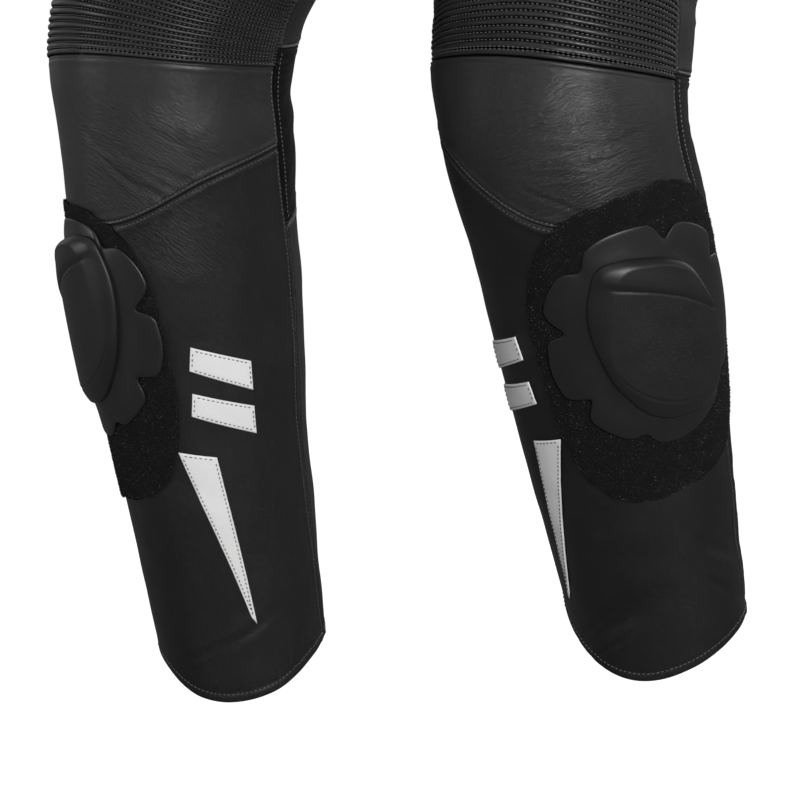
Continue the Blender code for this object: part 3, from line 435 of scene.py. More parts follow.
def sleeve_point(side, distance, degrees, lift=0.0):
    """degrees: 0 under the arm, 90 in front, 180 on top."""
    distance, share = np.broadcast_arrays(np.asarray(distance, float),
                                          np.asarray(degrees, float) / 360.0)
    mirror = np.array((side, 1.0, 1.0))
    arm = smooth_rows(ARM, distance)
    ahead = smooth_rows(ARM, distance + NORMAL_STEP)
    behind = smooth_rows(ARM, distance - NORMAL_STEP)
    along = unit((ahead[..., :3] - behind[..., :3]) * mirror)
    forward = np.zeros_like(along)
    forward[..., 1] = -1.0
    forward = square_to(along, forward)
    inward = np.cross(along, forward)
    inward *= -np.sign(inward[..., :1] * side)
    angle = 2.0 * math.pi * share
    radius = arm[..., 3] + lift
    tube = arm[..., :3] * mirror
    tube = tube + inward * (radius * np.cos(angle))[..., None]
    tube = tube + forward * (radius * np.sin(angle))[..., None]
    start = armhole_loop(side, share) + along * distance[..., None]
    share_of_tube = smooth_step(distance / SLEEVE_BLEND)[..., None]
    return lowered(start * (1.0 - share_of_tube) + tube * share_of_tube)


def outward_normals(surface, rows, columns, side):
    along = surface(rows + NORMAL_STEP, columns) - surface(rows - NORMAL_STEP, columns)
    around = surface(rows, columns + NORMAL_TURN) - surface(rows, columns - NORMAL_TURN)
    return unit(np.cross(around, along) * side)


# ---------------------------------------------------------------- grids of a panel
def fine_shares(length, step):
    """Shares from 0 to 1, close together beside both seams."""
    steps = np.array([s for s in EDGE_STEPS if s < length * 0.4]) + SEAM_INSET
    middle_count = max(2, int(round((length - 2.0 * steps[-1]) / step)))
    middle = np.linspace(steps[-1], length - steps[-1], middle_count + 1)
    every = np.concatenate((steps[:-1], middle, (length - steps[:-1])[::-1]))
    return every / length


def leg_cells(side, bottom, top, seams, row_shares, column_shares):
    place = np.full((len(row_shares), len(column_shares)), 0.5)
    turn = np.zeros_like(place)
    for _ in range(5):
        first = seam_turn(seams[0], place)
        last = seam_turn(seams[1], place)
        turn = first + (last - first) * column_shares[None, :]
        low = level_line(side, bottom, turn)
        high = level_line(side, top, turn)
        place = low + (high - low) * row_shares[:, None]
    return place, turn


def run_lengths(points, axis):
    """Length along each grid line, from its start."""
    steps = np.linalg.norm(np.diff(points, axis=axis), axis=-1)
    zero = np.zeros_like(np.take(steps, [0], axis=axis))
    return np.concatenate((zero, np.cumsum(steps, axis=axis)), axis=axis)


def zip_edges(upper, lower):
    """Triangles that close the strip between two edges of unlike counts."""
    faces = []
    i = 0
    j = 0
    while i < len(upper) - 1 or j < len(lower) - 1:
        next_upper = (i + 1) / (len(upper) - 1)
        next_lower = (j + 1) / (len(lower) - 1)
        if j == len(lower) - 1 or (i < len(upper) - 1 and next_upper <= next_lower):
            faces.append((upper[i + 1], upper[i], lower[j]))
            i += 1
        else:
            faces.append((upper[i], lower[j], lower[j + 1]))
            j += 1
    return faces


def grid_quads(index, flip):
    a, b = index[:-1, :-1], index[:-1, 1:]
    c, d = index[1:, 1:], index[1:, :-1]
    order = (d, c, b, a) if flip else (a, b, c, d)
    return np.stack([corner.ravel() for corner in order], axis=-1)


def edge_loop(index):
    return (index[0], index[:, -1], index[-1][::-1], index[:, 0][::-1])


def thinned(count, every):
    """Indices that keep both ends of a line and one in so many between."""
    kept = list(range(0, count - 1, every))
    return np.array(kept + [count - 1])


def linked(name, data):
    """A new object in the scene."""
    thing = bpy.data.objects.new(name, data)
    bpy.context.scene.collection.objects.link(thing)
    return thing


def new_piece(name, vertices, faces, materials, inner_from=None, smooth_angle=None):
    """A mesh object; faces from number inner_from on take the second material."""
    mesh = bpy.data.meshes.new(name)
    mesh.from_pydata([tuple(v) for v in vertices], [], [tuple(int(i) for i in f) for f in faces])
    for material in materials:
        mesh.materials.append(material)
    mesh.shade_smooth()
    if inner_from is not None:
        numbers = np.zeros(len(mesh.polygons), dtype=np.int32)
        numbers[inner_from:] = 1
        mesh.polygons.foreach_set("material_index", numbers)
    if smooth_angle is not None:
        mesh.set_sharp_from_angle(angle=math.radians(smooth_angle))
    mesh.update()
    return linked(name, mesh)


def point_values(piece, name, values):
    """Store a number or a vector for each of the first points of a mesh."""
    values = np.asarray(values, dtype=np.float32)
    count = len(piece.data.vertices)
    if values.ndim == 1:
        full = np.zeros(count, dtype=np.float32)
        full[:len(values)] = values
        piece.data.attributes.new(name, "FLOAT", "POINT").data.foreach_set("value", full)
    else:
        full = np.zeros((count, 3), dtype=np.float32)
        full[:len(values)] = values
        piece.data.attributes.new(name, "FLOAT_VECTOR", "POINT").data.foreach_set(
            "vector", full.ravel())


def closed_wall(name, outer, inner, materials, inner_every=4):
    """A wall whose inside is coarser than its outside, closed round its edges."""
    rows, columns = outer.shape[:2]
    outer_index = np.arange(rows * columns).reshape(rows, columns)
    kept_rows = thinned(rows, inner_every)
    kept_columns = thinned(columns, inner_every)
    inner = inner[kept_rows][:, kept_columns]
    inner_rows, inner_columns = inner.shape[:2]
    inner_index = np.arange(inner_rows * inner_columns).reshape(inner_rows, inner_columns)
    inner_index += outer_index.size
    centre_out = np.cross(outer[0, 1] - outer[0, 0], outer[1, 0] - outer[0, 0])
    flip = float(np.dot(centre_out, outer[0, 0] - inner[0, 0])) < 0.0
    faces = [grid_quads(outer_index, flip)]
    for upper, lower in zip(edge_loop(outer_index), edge_loop(inner_index)):
        strip = np.array(zip_edges(list(upper), list(lower)))
        faces.append(strip if not flip else strip[:, ::-1])
    outer_count = sum(len(part) for part in faces)
    faces.append(grid_quads(inner_index, not flip))
    every_face = [face for part in faces for face in part]
    vertices = np.concatenate((outer.reshape(-1, 3), inner.reshape(-1, 3)))
    return new_piece(name, vertices, every_face, materials, outer_count)


# ---------------------------------------------------------------- relief
WAVE_COUNT = 7


def waves(u, v, length, seed):
    """A smooth uneven height between about -1 and 1, with bumps of about that length."""
    chance = np.random.default_rng(seed)
    total = np.zeros(np.broadcast(u, v).shape)
    for _ in range(WAVE_COUNT):
        way = chance.uniform(0.0, math.pi)
        size = length * chance.uniform(0.7, 1.6)
        phase = chance.uniform(0.0, 2.0 * math.pi)
        total += np.sin(2.0 * math.pi * (u * math.cos(way) + v * math.sin(way)) / size + phase)
    return total / math.sqrt(WAVE_COUNT)


def seam_profile(distance):
    """The turned edge at a seam, its hollow under the stitches and the soft swell beyond."""
    edge = -0.0011 * bell(distance / 0.0006)
    roll = 0.00045 * bell((distance - 0.0013) / 0.0006)
    hollow = -0.00050 * bell((distance - STITCH_ROW) / 0.0006)
    swell = 0.00050 * bell((distance - STITCH_ROW - 0.0024) / 0.0018)
    return edge + roll + hollow + swell


def pucker(distance, along, seed):
    """Short creases that run away from a stitched seam."""
    ripple = np.sin(2.0 * math.pi * along / 0.0088 + 1.4 * waves(along, 0.0 * along, 0.03, seed))
    return 0.00016 * ripple * (1.0 + 0.5 * waves(along, 0.0 * along, 0.05, seed + 1)) * bell(
        (distance - 0.0050) / 0.0034)


def crease(u, v, middle, way, length, width, depth, bend):
    """One soft trough with raised banks; way is its direction in degrees from level."""
    across, up = u - middle[0], v - middle[1]
    c, s = math.cos(math.radians(way)), math.sin(math.radians(way))
    a = across * c + up * s
    b = -across * s + up * c - bend * a * a
    fade = bell(a / (length / 2.0))
    banks = 0.5 * bell((b - 1.5 * width) / width) + 0.4 * bell((b + 1.6 * width) / width)
    return depth * fade * (banks - bell(b / width))


def crease_field(u, v, families, seed):
    """Families of creases: middle, spread, count, direction, length, width, depth, bend."""
    chance = np.random.default_rng(seed)
    total = np.zeros(np.broadcast(u, v).shape)
    for middle, spread, count, way, length, width, depth, bend in families:
        for _ in range(count):
            at = (middle[0] + chance.normal() * spread[0], middle[1] + chance.normal() * spread[1])
            total += crease(
                u, v, at, way + chance.normal() * 9.0, length * chance.uniform(0.55, 1.35),
                width * chance.uniform(0.6, 1.5), depth * chance.uniform(0.45, 1.25),
                bend * chance.uniform(0.3, 1.6))
    return total


# Creases on the legs in metres: u outward round the leg from its front, v its place.
# middle, direction, length, width, depth, bend
PLACED_CREASES = {
    RIGHT: (
        ((-0.006, 0.408), 34.0, 0.030, 0.0017, 0.00100, 4.0),
        ((-0.014, 0.401), 37.0, 0.036, 0.0020, 0.00135, 3.0),
        ((-0.024, 0.397), 35.0, 0.040, 0.0018, 0.00120, 3.0),
        ((-0.033, 0.394), 33.0, 0.034, 0.0021, 0.00130, 2.0),
        ((-0.043, 0.397), 31.0, 0.036, 0.0017, 0.00090, 2.0),
        ((-0.050, 0.404), 29.0, 0.044, 0.0023, 0.00070, 1.5),
        ((-0.030, 0.412), 33.0, 0.050, 0.0026, 0.00085, 1.5),
        ((-0.012, 0.420), 33.0, 0.046, 0.0024, 0.00050, 1.5),
        ((0.010, 0.428), 30.0, 0.040, 0.0030, 0.00050, 1.5),
        ((-0.010, 0.362), 6.0, 0.040, 0.0016, 0.00035, 2.0),
        ((-0.034, 0.356), 3.0, 0.046, 0.0014, 0.00032, 2.0),
        ((-0.028, 0.347), 4.0, 0.050, 0.0018, 0.00030, 2.0),
        ((-0.052, 0.339), 2.0, 0.040, 0.0015, 0.00025, 1.0),
        ((-0.010, 0.049), -16.0, 0.050, 0.0030, 0.00060, 1.0),
        ((-0.060, 0.062), -22.0, 0.060, 0.0040, 0.00070, 1.0),
    ),
    LEFT: (
        ((0.066, 0.4185), 8.0, 0.044, 0.0030, 0.00090, 2.0),
        ((0.052, 0.4110), 6.0, 0.046, 0.0019, 0.00060, 2.0),
        ((0.066, 0.4040), 10.0, 0.036, 0.0018, 0.00045, 2.0),
        ((0.036, 0.4190), 3.0, 0.040, 0.0015, 0.00050, 2.0),
        ((0.046, 0.4270), 1.0, 0.050, 0.0022, 0.00040, 2.0),
        ((0.020, 0.4075), -4.0, 0.040, 0.0016, 0.00045, 2.0),
        ((0.012, 0.3960), -22.0, 0.022, 0.0013, 0.00050, 2.0),
        ((0.022, 0.3930), -26.0, 0.018, 0.0012, 0.00045, 2.0),
        ((0.004, 0.4000), -20.0, 0.020, 0.0012, 0.00040, 2.0),
        ((-0.018, 0.370), -8.0, 0.040, 0.0018, 0.00040, 1.0),
        ((-0.030, 0.357), -10.0, 0.044, 0.0022, 0.00040, 1.0),
        ((-0.044, 0.074), 30.0, 0.050, 0.0032, 0.00110, 1.0),
        ((-0.026, 0.060), 24.0, 0.048, 0.0026, 0.00090, 1.0),
        ((-0.014, 0.078), 20.0, 0.060, 0.0040, 0.00060, 1.0),
        ((0.096, 0.090), -34.0, 0.040, 0.0034, 0.00110, 1.0),
        ((0.108, 0.112), -28.0, 0.044, 0.0040, 0.00080, 1.0),
    ),
}
# middle, spread, count, direction, length, width, depth, bend
LEG_CREASES = {
    RIGHT: (
        ((-0.028, 0.414), (0.024, 0.014), 14, 32.0, 0.034, 0.0013, 0.00030, 2.0),
        ((0.210, 0.438), (0.034, 0.022), 16, 3.0, 0.080, 0.0050, 0.00060, 0.8),
        ((-0.100, 0.600), (0.030, 0.020), 8, -22.0, 0.120, 0.0060, 0.00120, 0.5),
        ((0.020, 0.640), (0.090, 0.030), 12, -14.0, 0.150, 0.0075, 0.00130, 0.4),
        ((0.210, 0.120), (0.050, 0.060), 10, 24.0, 0.110, 0.0055, 0.00100, 0.6),
    ),
    LEFT: (
        ((0.044, 0.416), (0.022, 0.011), 12, 4.0, 0.036, 0.0013, 0.00028, 2.0),
        ((0.210, 0.438), (0.034, 0.022), 16, -3.0, 0.080, 0.0050, 0.00060, 0.8),
        ((0.190, 0.520), (0.050, 0.018), 8, 6.0, 0.110, 0.0050, 0.00130, 0.6),
        ((-0.060, 0.620), (0.060, 0.030), 12, -16.0, 0.140, 0.0070, 0.00130, 0.4),
        ((0.220, 0.120), (0.050, 0.060), 10, -20.0, 0.110, 0.0055, 0.00100, 0.6),
    ),
}


def leg_folds(side, u, place):
    total = crease_field(u, place, LEG_CREASES[side], 31 + side)
    for middle, way, length, width, depth, bend in PLACED_CREASES[side]:
        total += crease(u, place, middle, way, length, width, depth, bend)
    return total


# side, place, turn, reach along, reach in degrees, height
FULLNESS = (
    (LEFT, 0.463, -74.0, 0.020, 26.0, 0.0032),
    (LEFT, 0.215, 98.0, 0.120, 30.0, 0.0026),
)


def fullness(side, place, turn):
    """Where the leather stands fuller than its solid."""
    total = np.zeros(np.broadcast(place, turn).shape)
    for full_side, at, middle, reach, half_turn, height in FULLNESS:
        if full_side == side:
            away = turn_between(turn, middle)
            total += height * bell((place - at) / reach) * bell(away / half_turn)
    return total


def leg_relief(side, place, turn):
    u = turn * DEGREES_TO_METRES
    fine = leg_folds(side, u, place)
    uneven = 0.00012 * waves(u, place, 0.034, 7 + side)
    uneven = uneven + 0.00035 * waves(u, place, 0.090, 9 + side)
    return fine + uneven + fullness(side, place, turn)


# ---------------------------------------------------------------- materials
class Shader:
    """Builds a node tree with few words."""

    def __init__(self, name):
        self.material = bpy.data.materials.new(name)
        self.material.use_nodes = True
        self.tree = self.material.node_tree
        self.main = self.tree.nodes["Principled BSDF"]
        self.coordinates = self.tree.nodes.new("ShaderNodeTexCoord").outputs["Object"]

    def plug(self, value, socket):
        if isinstance(value, bpy.types.NodeSocket):
            self.tree.links.new(value, socket)
        else:
            socket.default_value = value

    def node(self, kind, settings=(), **inputs):
        node = self.tree.nodes.new(kind)
        for key, value in dict(settings).items():
            setattr(node, key, value)
        for key, value in inputs.items():
            self.plug(value, node.inputs[key])
        return node

    def attribute(self, name, output="Fac"):
        return self.node("ShaderNodeAttribute", {"attribute_name": name}).outputs[output]

    def scaled(self, vector, scale):
        node = self.node("ShaderNodeMapping", Vector=vector)
        node.inputs["Scale"].default_value = scale
        return node.outputs["Vector"]

    def noise(self, vector, scale, detail=2.0, roughness=0.5):
        return self.node("ShaderNodeTexNoise", Vector=vector, Scale=scale, Detail=detail,
                         Roughness=roughness).outputs["Fac"]

    def cells(self, vector, scale):
        """0 along the borders of small cells, more inside them."""
        return self.node("ShaderNodeTexVoronoi", {"feature": "DISTANCE_TO_EDGE"}, Vector=vector,
                         Scale=scale).outputs["Distance"]

    def math(self, operation, a, b=0.0, c=0.0):
        node = self.tree.nodes.new("ShaderNodeMath")
        node.operation = operation
        for value, socket in zip((a, b, c), node.inputs):
            self.plug(value, socket)
        return node.outputs[0]

    def spread(self, value, low, high, to_low, to_high):
        node = self.node("ShaderNodeMapRange", {"interpolation_type": "SMOOTHSTEP"}, Value=value)
        keys = ("From Min", "From Max", "To Min", "To Max")
        for key, number in zip(keys, (low, high, to_low, to_high)):
            node.inputs[key].default_value = number
        return node.outputs["Result"]

    def valleys(self, value, width):
        """1 on plateaus, 0 along the lines where the value crosses its middle."""
        away = self.math("ABSOLUTE", self.math("SUBTRACT", value, 0.5))
        return self.spread(away, 0.0, width, 0.0, 1.0)

    def mix(self, share, a, b):
        node = self.tree.nodes.new("ShaderNodeMix")
        node.data_type = "RGBA"
        self.plug(share, node.inputs["Factor"])
        self.plug((*a, 1.0) if isinstance(a, tuple) else a, node.inputs["A"])
        self.plug((*b, 1.0) if isinstance(b, tuple) else b, node.inputs["B"])
        return node.outputs["Result"]

    def bump(self, height, distance, below=None):
        node = self.node("ShaderNodeBump", Height=height, Distance=distance, Strength=1.0)
        if below is not None:
            self.plug(below, node.inputs["Normal"])
        return node.outputs["Normal"]

    def set(self, name, value):
        self.plug(value, self.main.inputs[name])


PAINTED_SHADE_BLACK = (0.0004, 0.0004, 0.0004)    # painted shade, for where little light reaches
PEBBLES = 1150.0                         # pebbles of the grain in a metre


def leather(name, dark, light, rough, grain=1.0, index=1.47):
    """Finished cowhide: pebbled grain, fine creases where it bends, worn ridges, and shade painted
    near black along seams and in grooves.
    """
    s = Shader(name)
    at = s.coordinates
    cloud = s.noise(at, 38.0, 3.0)
    worn = s.attribute("worn")
    creased = s.attribute("creased")
    patchy = s.math("MULTIPLY_ADD", cloud, 0.6, s.math("MULTIPLY", worn, 0.5))
    patchy = s.spread(patchy, 0.2, 0.9, 0.0, 1.0)
    # painted shade: the deep value turns the base colour near black along seam valleys and grooves
    deep = s.attribute("deep")
    s.set("Base Color", s.mix(deep, s.mix(patchy, dark, light), PAINTED_SHADE_BLACK))
    speck = s.noise(at, 900.0, 2.0)
    shine = s.math("MULTIPLY_ADD", speck, 0.10, s.math("MULTIPLY_ADD", cloud, 0.12, rough - 0.11))
    shine = s.math("MULTIPLY_ADD", deep, 0.5, shine)
    s.set("Roughness", s.math("SUBTRACT", shine, s.math("MULTIPLY", worn, 0.07)))
    pebbles = s.spread(s.cells(at, PEBBLES), 0.0, 0.10, 0.0, 1.0)
    pores = s.noise(at, 2600.0, 2.0)
    way = s.attribute("way", "Vector")
    lines = s.valleys(s.noise(s.scaled(way, (150.0, 620.0, 1.0)), 1.0, 2.0, 0.5), 0.055)
    ridges = s.noise(s.scaled(way, (130.0, 700.0, 1.0)), 1.0, 3.0, 0.62)
    ridges = s.spread(ridges, 0.28, 0.72, 0.0, 1.0)
    folded = s.math("MULTIPLY", creased, s.math("MULTIPLY_ADD", lines, 0.25, ridges))
    normal = s.bump(pores, 0.00006 * grain)
    normal = s.bump(pebbles, 0.00007 * grain, normal)
    normal = s.bump(folded, 0.00044, normal)
    normal = s.bump(s.noise(at, 150.0, 2.0), 0.00030, normal)
    s.set("Normal", normal)
    s.set("IOR", index)
    return s.material


def painted_groove_shade(name):
    """Painted shade: near black, barely reflecting leather for the faces pressed down under the
    stitches of a groove, where little light reaches.
    """
    s = Shader(name)
    grain = s.cells(s.coordinates, PEBBLES)
    s.set("Base Color", s.mix(grain, PAINTED_SHADE_BLACK, (0.0012, 0.0012, 0.0013)))
    s.set("Roughness", s.math("MULTIPLY_ADD", s.noise(s.coordinates, 900.0), 0.1, 0.85))
    s.set("Normal", s.bump(grain, 0.00006))
    s.set("Specular IOR Level", 0.06)
    return s.material


def suede(name):
    """The flesh side of the leather, seen in the openings."""
    s = Shader(name)
    nap = s.noise(s.coordinates, 700.0, 4.0, 0.7)
    s.set("Base Color", s.mix(nap, (0.012, 0.012, 0.012), (0.030, 0.029, 0.028)))
    s.set("Roughness", 0.95)
    s.set("Normal", s.bump(nap, 0.0003))
    s.set("Sheen Weight", 0.25)
    s.set("Sheen Roughness", 0.6)
    return s.material


def stretch_cloth(name):
    """A tight stretch weave with fine ribs across the leg."""
    s = Shader(name)
    weave = s.attribute("way", "Vector")
    rows = s.node("ShaderNodeTexWave", {"bands_direction": "Y", "wave_profile": "SIN"},
                  Vector=weave, Scale=210.0, Distortion=0.6, Detail=1.0).outputs["Fac"]
    threads = s.node("ShaderNodeTexWave", {"bands_direction": "X", "wave_profile": "SIN"},
                     Vector=weave, Scale=330.0, Distortion=0.8, Detail=1.0).outputs["Fac"]
    height = s.math("MULTIPLY_ADD", threads, 0.45, rows)
    s.set("Base Color", s.mix(height, (0.0010, 0.0010, 0.0013), (0.0045, 0.0045, 0.0052)))
    s.set("Roughness", s.math("MULTIPLY_ADD", s.noise(s.coordinates, 60.0), 0.15, 0.74))
    s.set("Normal", s.bump(height, 0.00022))
    s.set("Specular IOR Level", 0.12)
    s.set("Sheen Weight", 0.03)
    s.set("Sheen Roughness", 0.35)
    return s.material


def loop_cloth(name):
    """Looped pile of the patch that grips the slider."""
    s = Shader(name)
    tufts = s.noise(s.coordinates, 620.0, 4.0, 0.72)
    lint = s.spread(s.noise(s.coordinates, 1300.0, 2.0), 0.58, 0.70, 0.0, 1.0)
    trodden = s.spread(s.noise(s.coordinates, 70.0, 3.0), 0.35, 0.65, 0.15, 1.0)
    base = s.mix(tufts, (0.0006, 0.0006, 0.0007), (0.0060, 0.0060, 0.0064))
    s.set("Base Color", s.mix(s.math("MULTIPLY", lint, trodden), base, (0.050, 0.050, 0.052)))
    s.set("Roughness", 0.93)
    s.set("Normal", s.bump(tufts, 0.0016))
    s.set("Specular IOR Level", 0.25)
    return s.material


def pile_fibre(name):
    """Tufts of the pile: mostly black, some dusty and pale."""
    s = Shader(name)
    dusty = s.math("MULTIPLY", s.attribute("worn"), s.noise(s.coordinates, 300.0, 2.0))
    s.set("Base Color", s.mix(dusty, (0.0036, 0.0036, 0.0040), (0.240, 0.240, 0.245)))
    s.set("Roughness", s.math("MULTIPLY_ADD", s.noise(s.coordinates, 900.0), 0.2, 0.7))
    s.set("Specular IOR Level", 0.3)
    s.set("Normal", s.bump(s.noise(s.coordinates, 2400.0), 0.0001))
    return s.material


def moulded(name, dark, light, rough):
    """Moulded urethane with a satin skin and faint scuffs on its crown."""
    s = Shader(name)
    at = s.coordinates
    cloud = s.noise(at, 55.0, 3.0)
    worn = s.attribute("worn")
    scuffs = s.noise(s.scaled(at, (260.0, 260.0, 1400.0)), 1.0, 3.0, 0.6)
    rub = s.math("MULTIPLY", worn, s.spread(scuffs, 0.52, 0.72, 0.0, 1.0))
    paler = s.math("MULTIPLY_ADD", rub, 0.6, s.math("MULTIPLY", cloud, 0.4))
    s.set("Base Color", s.mix(paler, dark, light))
    shine = s.math("MULTIPLY_ADD", cloud, 0.10, rough)
    s.set("Roughness", s.math("MULTIPLY_ADD", rub, 0.16, shine))
    normal = s.bump(s.noise(at, 2200.0, 2.0), 0.00004)
    normal = s.bump(scuffs, 0.00003, normal)
    s.set("Normal", normal)
    return s.material


def thread(name, dark, light):
    """Bonded thread: two plies twisted together."""
    s = Shader(name)
    twist = s.node("ShaderNodeTexWave", {"bands_direction": "DIAGONAL"}, Vector=s.coordinates,
                   Scale=900.0, Distortion=1.5).outputs["Fac"]
    s.set("Base Color", s.mix(twist, dark, light))
    s.set("Roughness", 0.42)
    s.set("Normal", s.bump(twist, 0.00006))
    s.set("Sheen Weight", 0.2)
    return s.material


def tape_cloth(name):
    s = Shader(name)
    weave = s.scaled(s.coordinates, (1.0, 0.35, 1.0))
    rows = s.node("ShaderNodeTexWave", {"bands_direction": "Z"}, Vector=weave, Scale=520.0,
                  Distortion=0.5).outputs["Fac"]
    ribs = s.node("ShaderNodeTexWave", {"bands_direction": "X"}, Vector=weave, Scale=420.0,
                  Distortion=0.5).outputs["Fac"]
    height = s.math("MULTIPLY", rows, ribs)
    s.set("Base Color", s.mix(height, (0.006, 0.006, 0.007), (0.020, 0.020, 0.022)))
    s.set("Roughness", 0.85)
    s.set("Normal", s.bump(height, 0.00018))
    return s.material


def metal(name):
    """Gunmetal plating, rubbed brighter in random patches."""
    s = Shader(name)
    rub = s.noise(s.coordinates, 420.0, 3.0)
    s.set("Base Color", s.mix(rub, (0.16, 0.16, 0.17), (0.36, 0.36, 0.37)))
    s.set("Metallic", 1.0)
    s.set("Roughness", s.math("MULTIPLY_ADD", s.noise(s.coordinates, 1500.0), 0.18, 0.24))
    s.set("Normal", s.bump(s.noise(s.scaled(s.coordinates, (2600.0, 2600.0, 300.0)), 1.0), 0.00003))
    return s.material


FINISH = {
    "leather": leather("leather_black", (0.0060, 0.0060, 0.0064), (0.0150, 0.0150, 0.0157), 0.42),
    "leather_knee": leather("leather_knee", (0.0120, 0.0120, 0.0126), (0.0260, 0.0260, 0.0270),
                            0.40, index=1.56),
    "leather_rib": leather("leather_ribbed", (0.0050, 0.0050, 0.0054), (0.0180, 0.0180, 0.0188),
                           0.34, index=1.58),
    # painted shade for the faces deep in the rib grooves
    "groove": painted_groove_shade("leather_groove_painted_shade"),
    "white_leather": leather("leather_white", (0.90, 0.90, 0.895), (0.97, 0.97, 0.97), 0.42, 0.6),
    "flesh": suede("leather_flesh_side"),
    "stretch": stretch_cloth("stretch_weave"),
    "loop": loop_cloth("loop_pile"),
    "slider": moulded("slider_urethane", (0.0085, 0.0085, 0.0090), (0.0200, 0.0200, 0.0210), 0.40),
    "pile": pile_fibre("pile_fibre"),
    "thread": thread("thread_black", (0.045, 0.045, 0.046), (0.150, 0.150, 0.153)),
    # painted light: a paler copy of the thread, so the rib stitches in shaded grooves look lit
    "thread_pale": thread("thread_painted_light", (0.090, 0.090, 0.092), (0.260, 0.260, 0.264)),
    "tape": tape_cloth("zip_tape_weave"),
    "metal": metal("zip_metal"),
}


def settle(piece, finish, *nodes, body="suit"):
    """Ride on the body and stand for the solids, which it hides."""
    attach(piece, body)
    if nodes:
        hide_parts(*nodes)
    return piece


def cloth_panel(name, node, outer, inner, finish, extras, inner_every):
    """A panel's closed wall, with its stored values, standing for its cut."""
    piece = closed_wall(name, outer, inner, (FINISH[finish], FINISH["flesh"]), inner_every)
    for key, values in extras.items():
        flat = values.reshape(-1, 3) if values.ndim == 3 else values.ravel()
        point_values(piece, key, flat)
    settle(piece, finish, node)
    return piece


def crease_way(u, v, degrees, bend, seed, middle=(0.0, 0.0)):
    """Coordinates along and across the fine creases, gently wavy."""
    c, s = math.cos(math.radians(degrees)), math.sin(math.radians(degrees))
    across, up = u - middle[0], v - middle[1]
    a = across * c + up * s
    b = -across * s + up * c + bend * a * a + 0.0007 * waves(u, v, 0.026, seed)
    return np.stack((a, b, 0.0 * a), axis=-1)


# ---------------------------------------------------------------- sewing
def along_line(line):
    steps = np.linalg.norm(np.diff(line, axis=0), axis=1)
    return np.concatenate(([0.0], np.cumsum(steps)))


def line_distance(points, line):
    """Distance from each point to a line, and its place along the line."""
    flat = points.reshape(-1, 3)
    squares = (line**2).sum(axis=1)
    nearest = np.empty(len(flat), dtype=int)
    for start in range(0, len(flat), 8000):
        part = flat[start:start + 8000]
        nearest[start:start + 8000] = (squares - 2.0 * part @ line.T).argmin(axis=1)
    run = along_line(line)
    best = np.full(len(flat), np.inf)
    place = np.zeros(len(flat))
    for shift in (-1, 0):
        i = np.clip(nearest + shift, 0, len(line) - 2)
        step = line[i + 1] - line[i]
        length = np.maximum(np.linalg.norm(step, axis=1), 1e-9)
        t = np.clip(((flat - line[i]) * step).sum(axis=1) / length**2, 0.0, 1.0)
        away = np.linalg.norm(flat - line[i] - step * t[:, None], axis=1)
        closer = away < best
        best = np.where(closer, away, best)
        place = np.where(closer, run[i] + t * length, place)
    shape = points.shape[:-1]
    return best.reshape(shape), place.reshape(shape)


def from_edge(grid, edge):
    """The grid turned so that its first row lies on that edge."""
    if edge == "low":
        return grid
    if edge == "high":
        return grid[::-1]
    turned = np.swapaxes(grid, 0, 1)
    return turned if edge == "first" else turned[::-1]


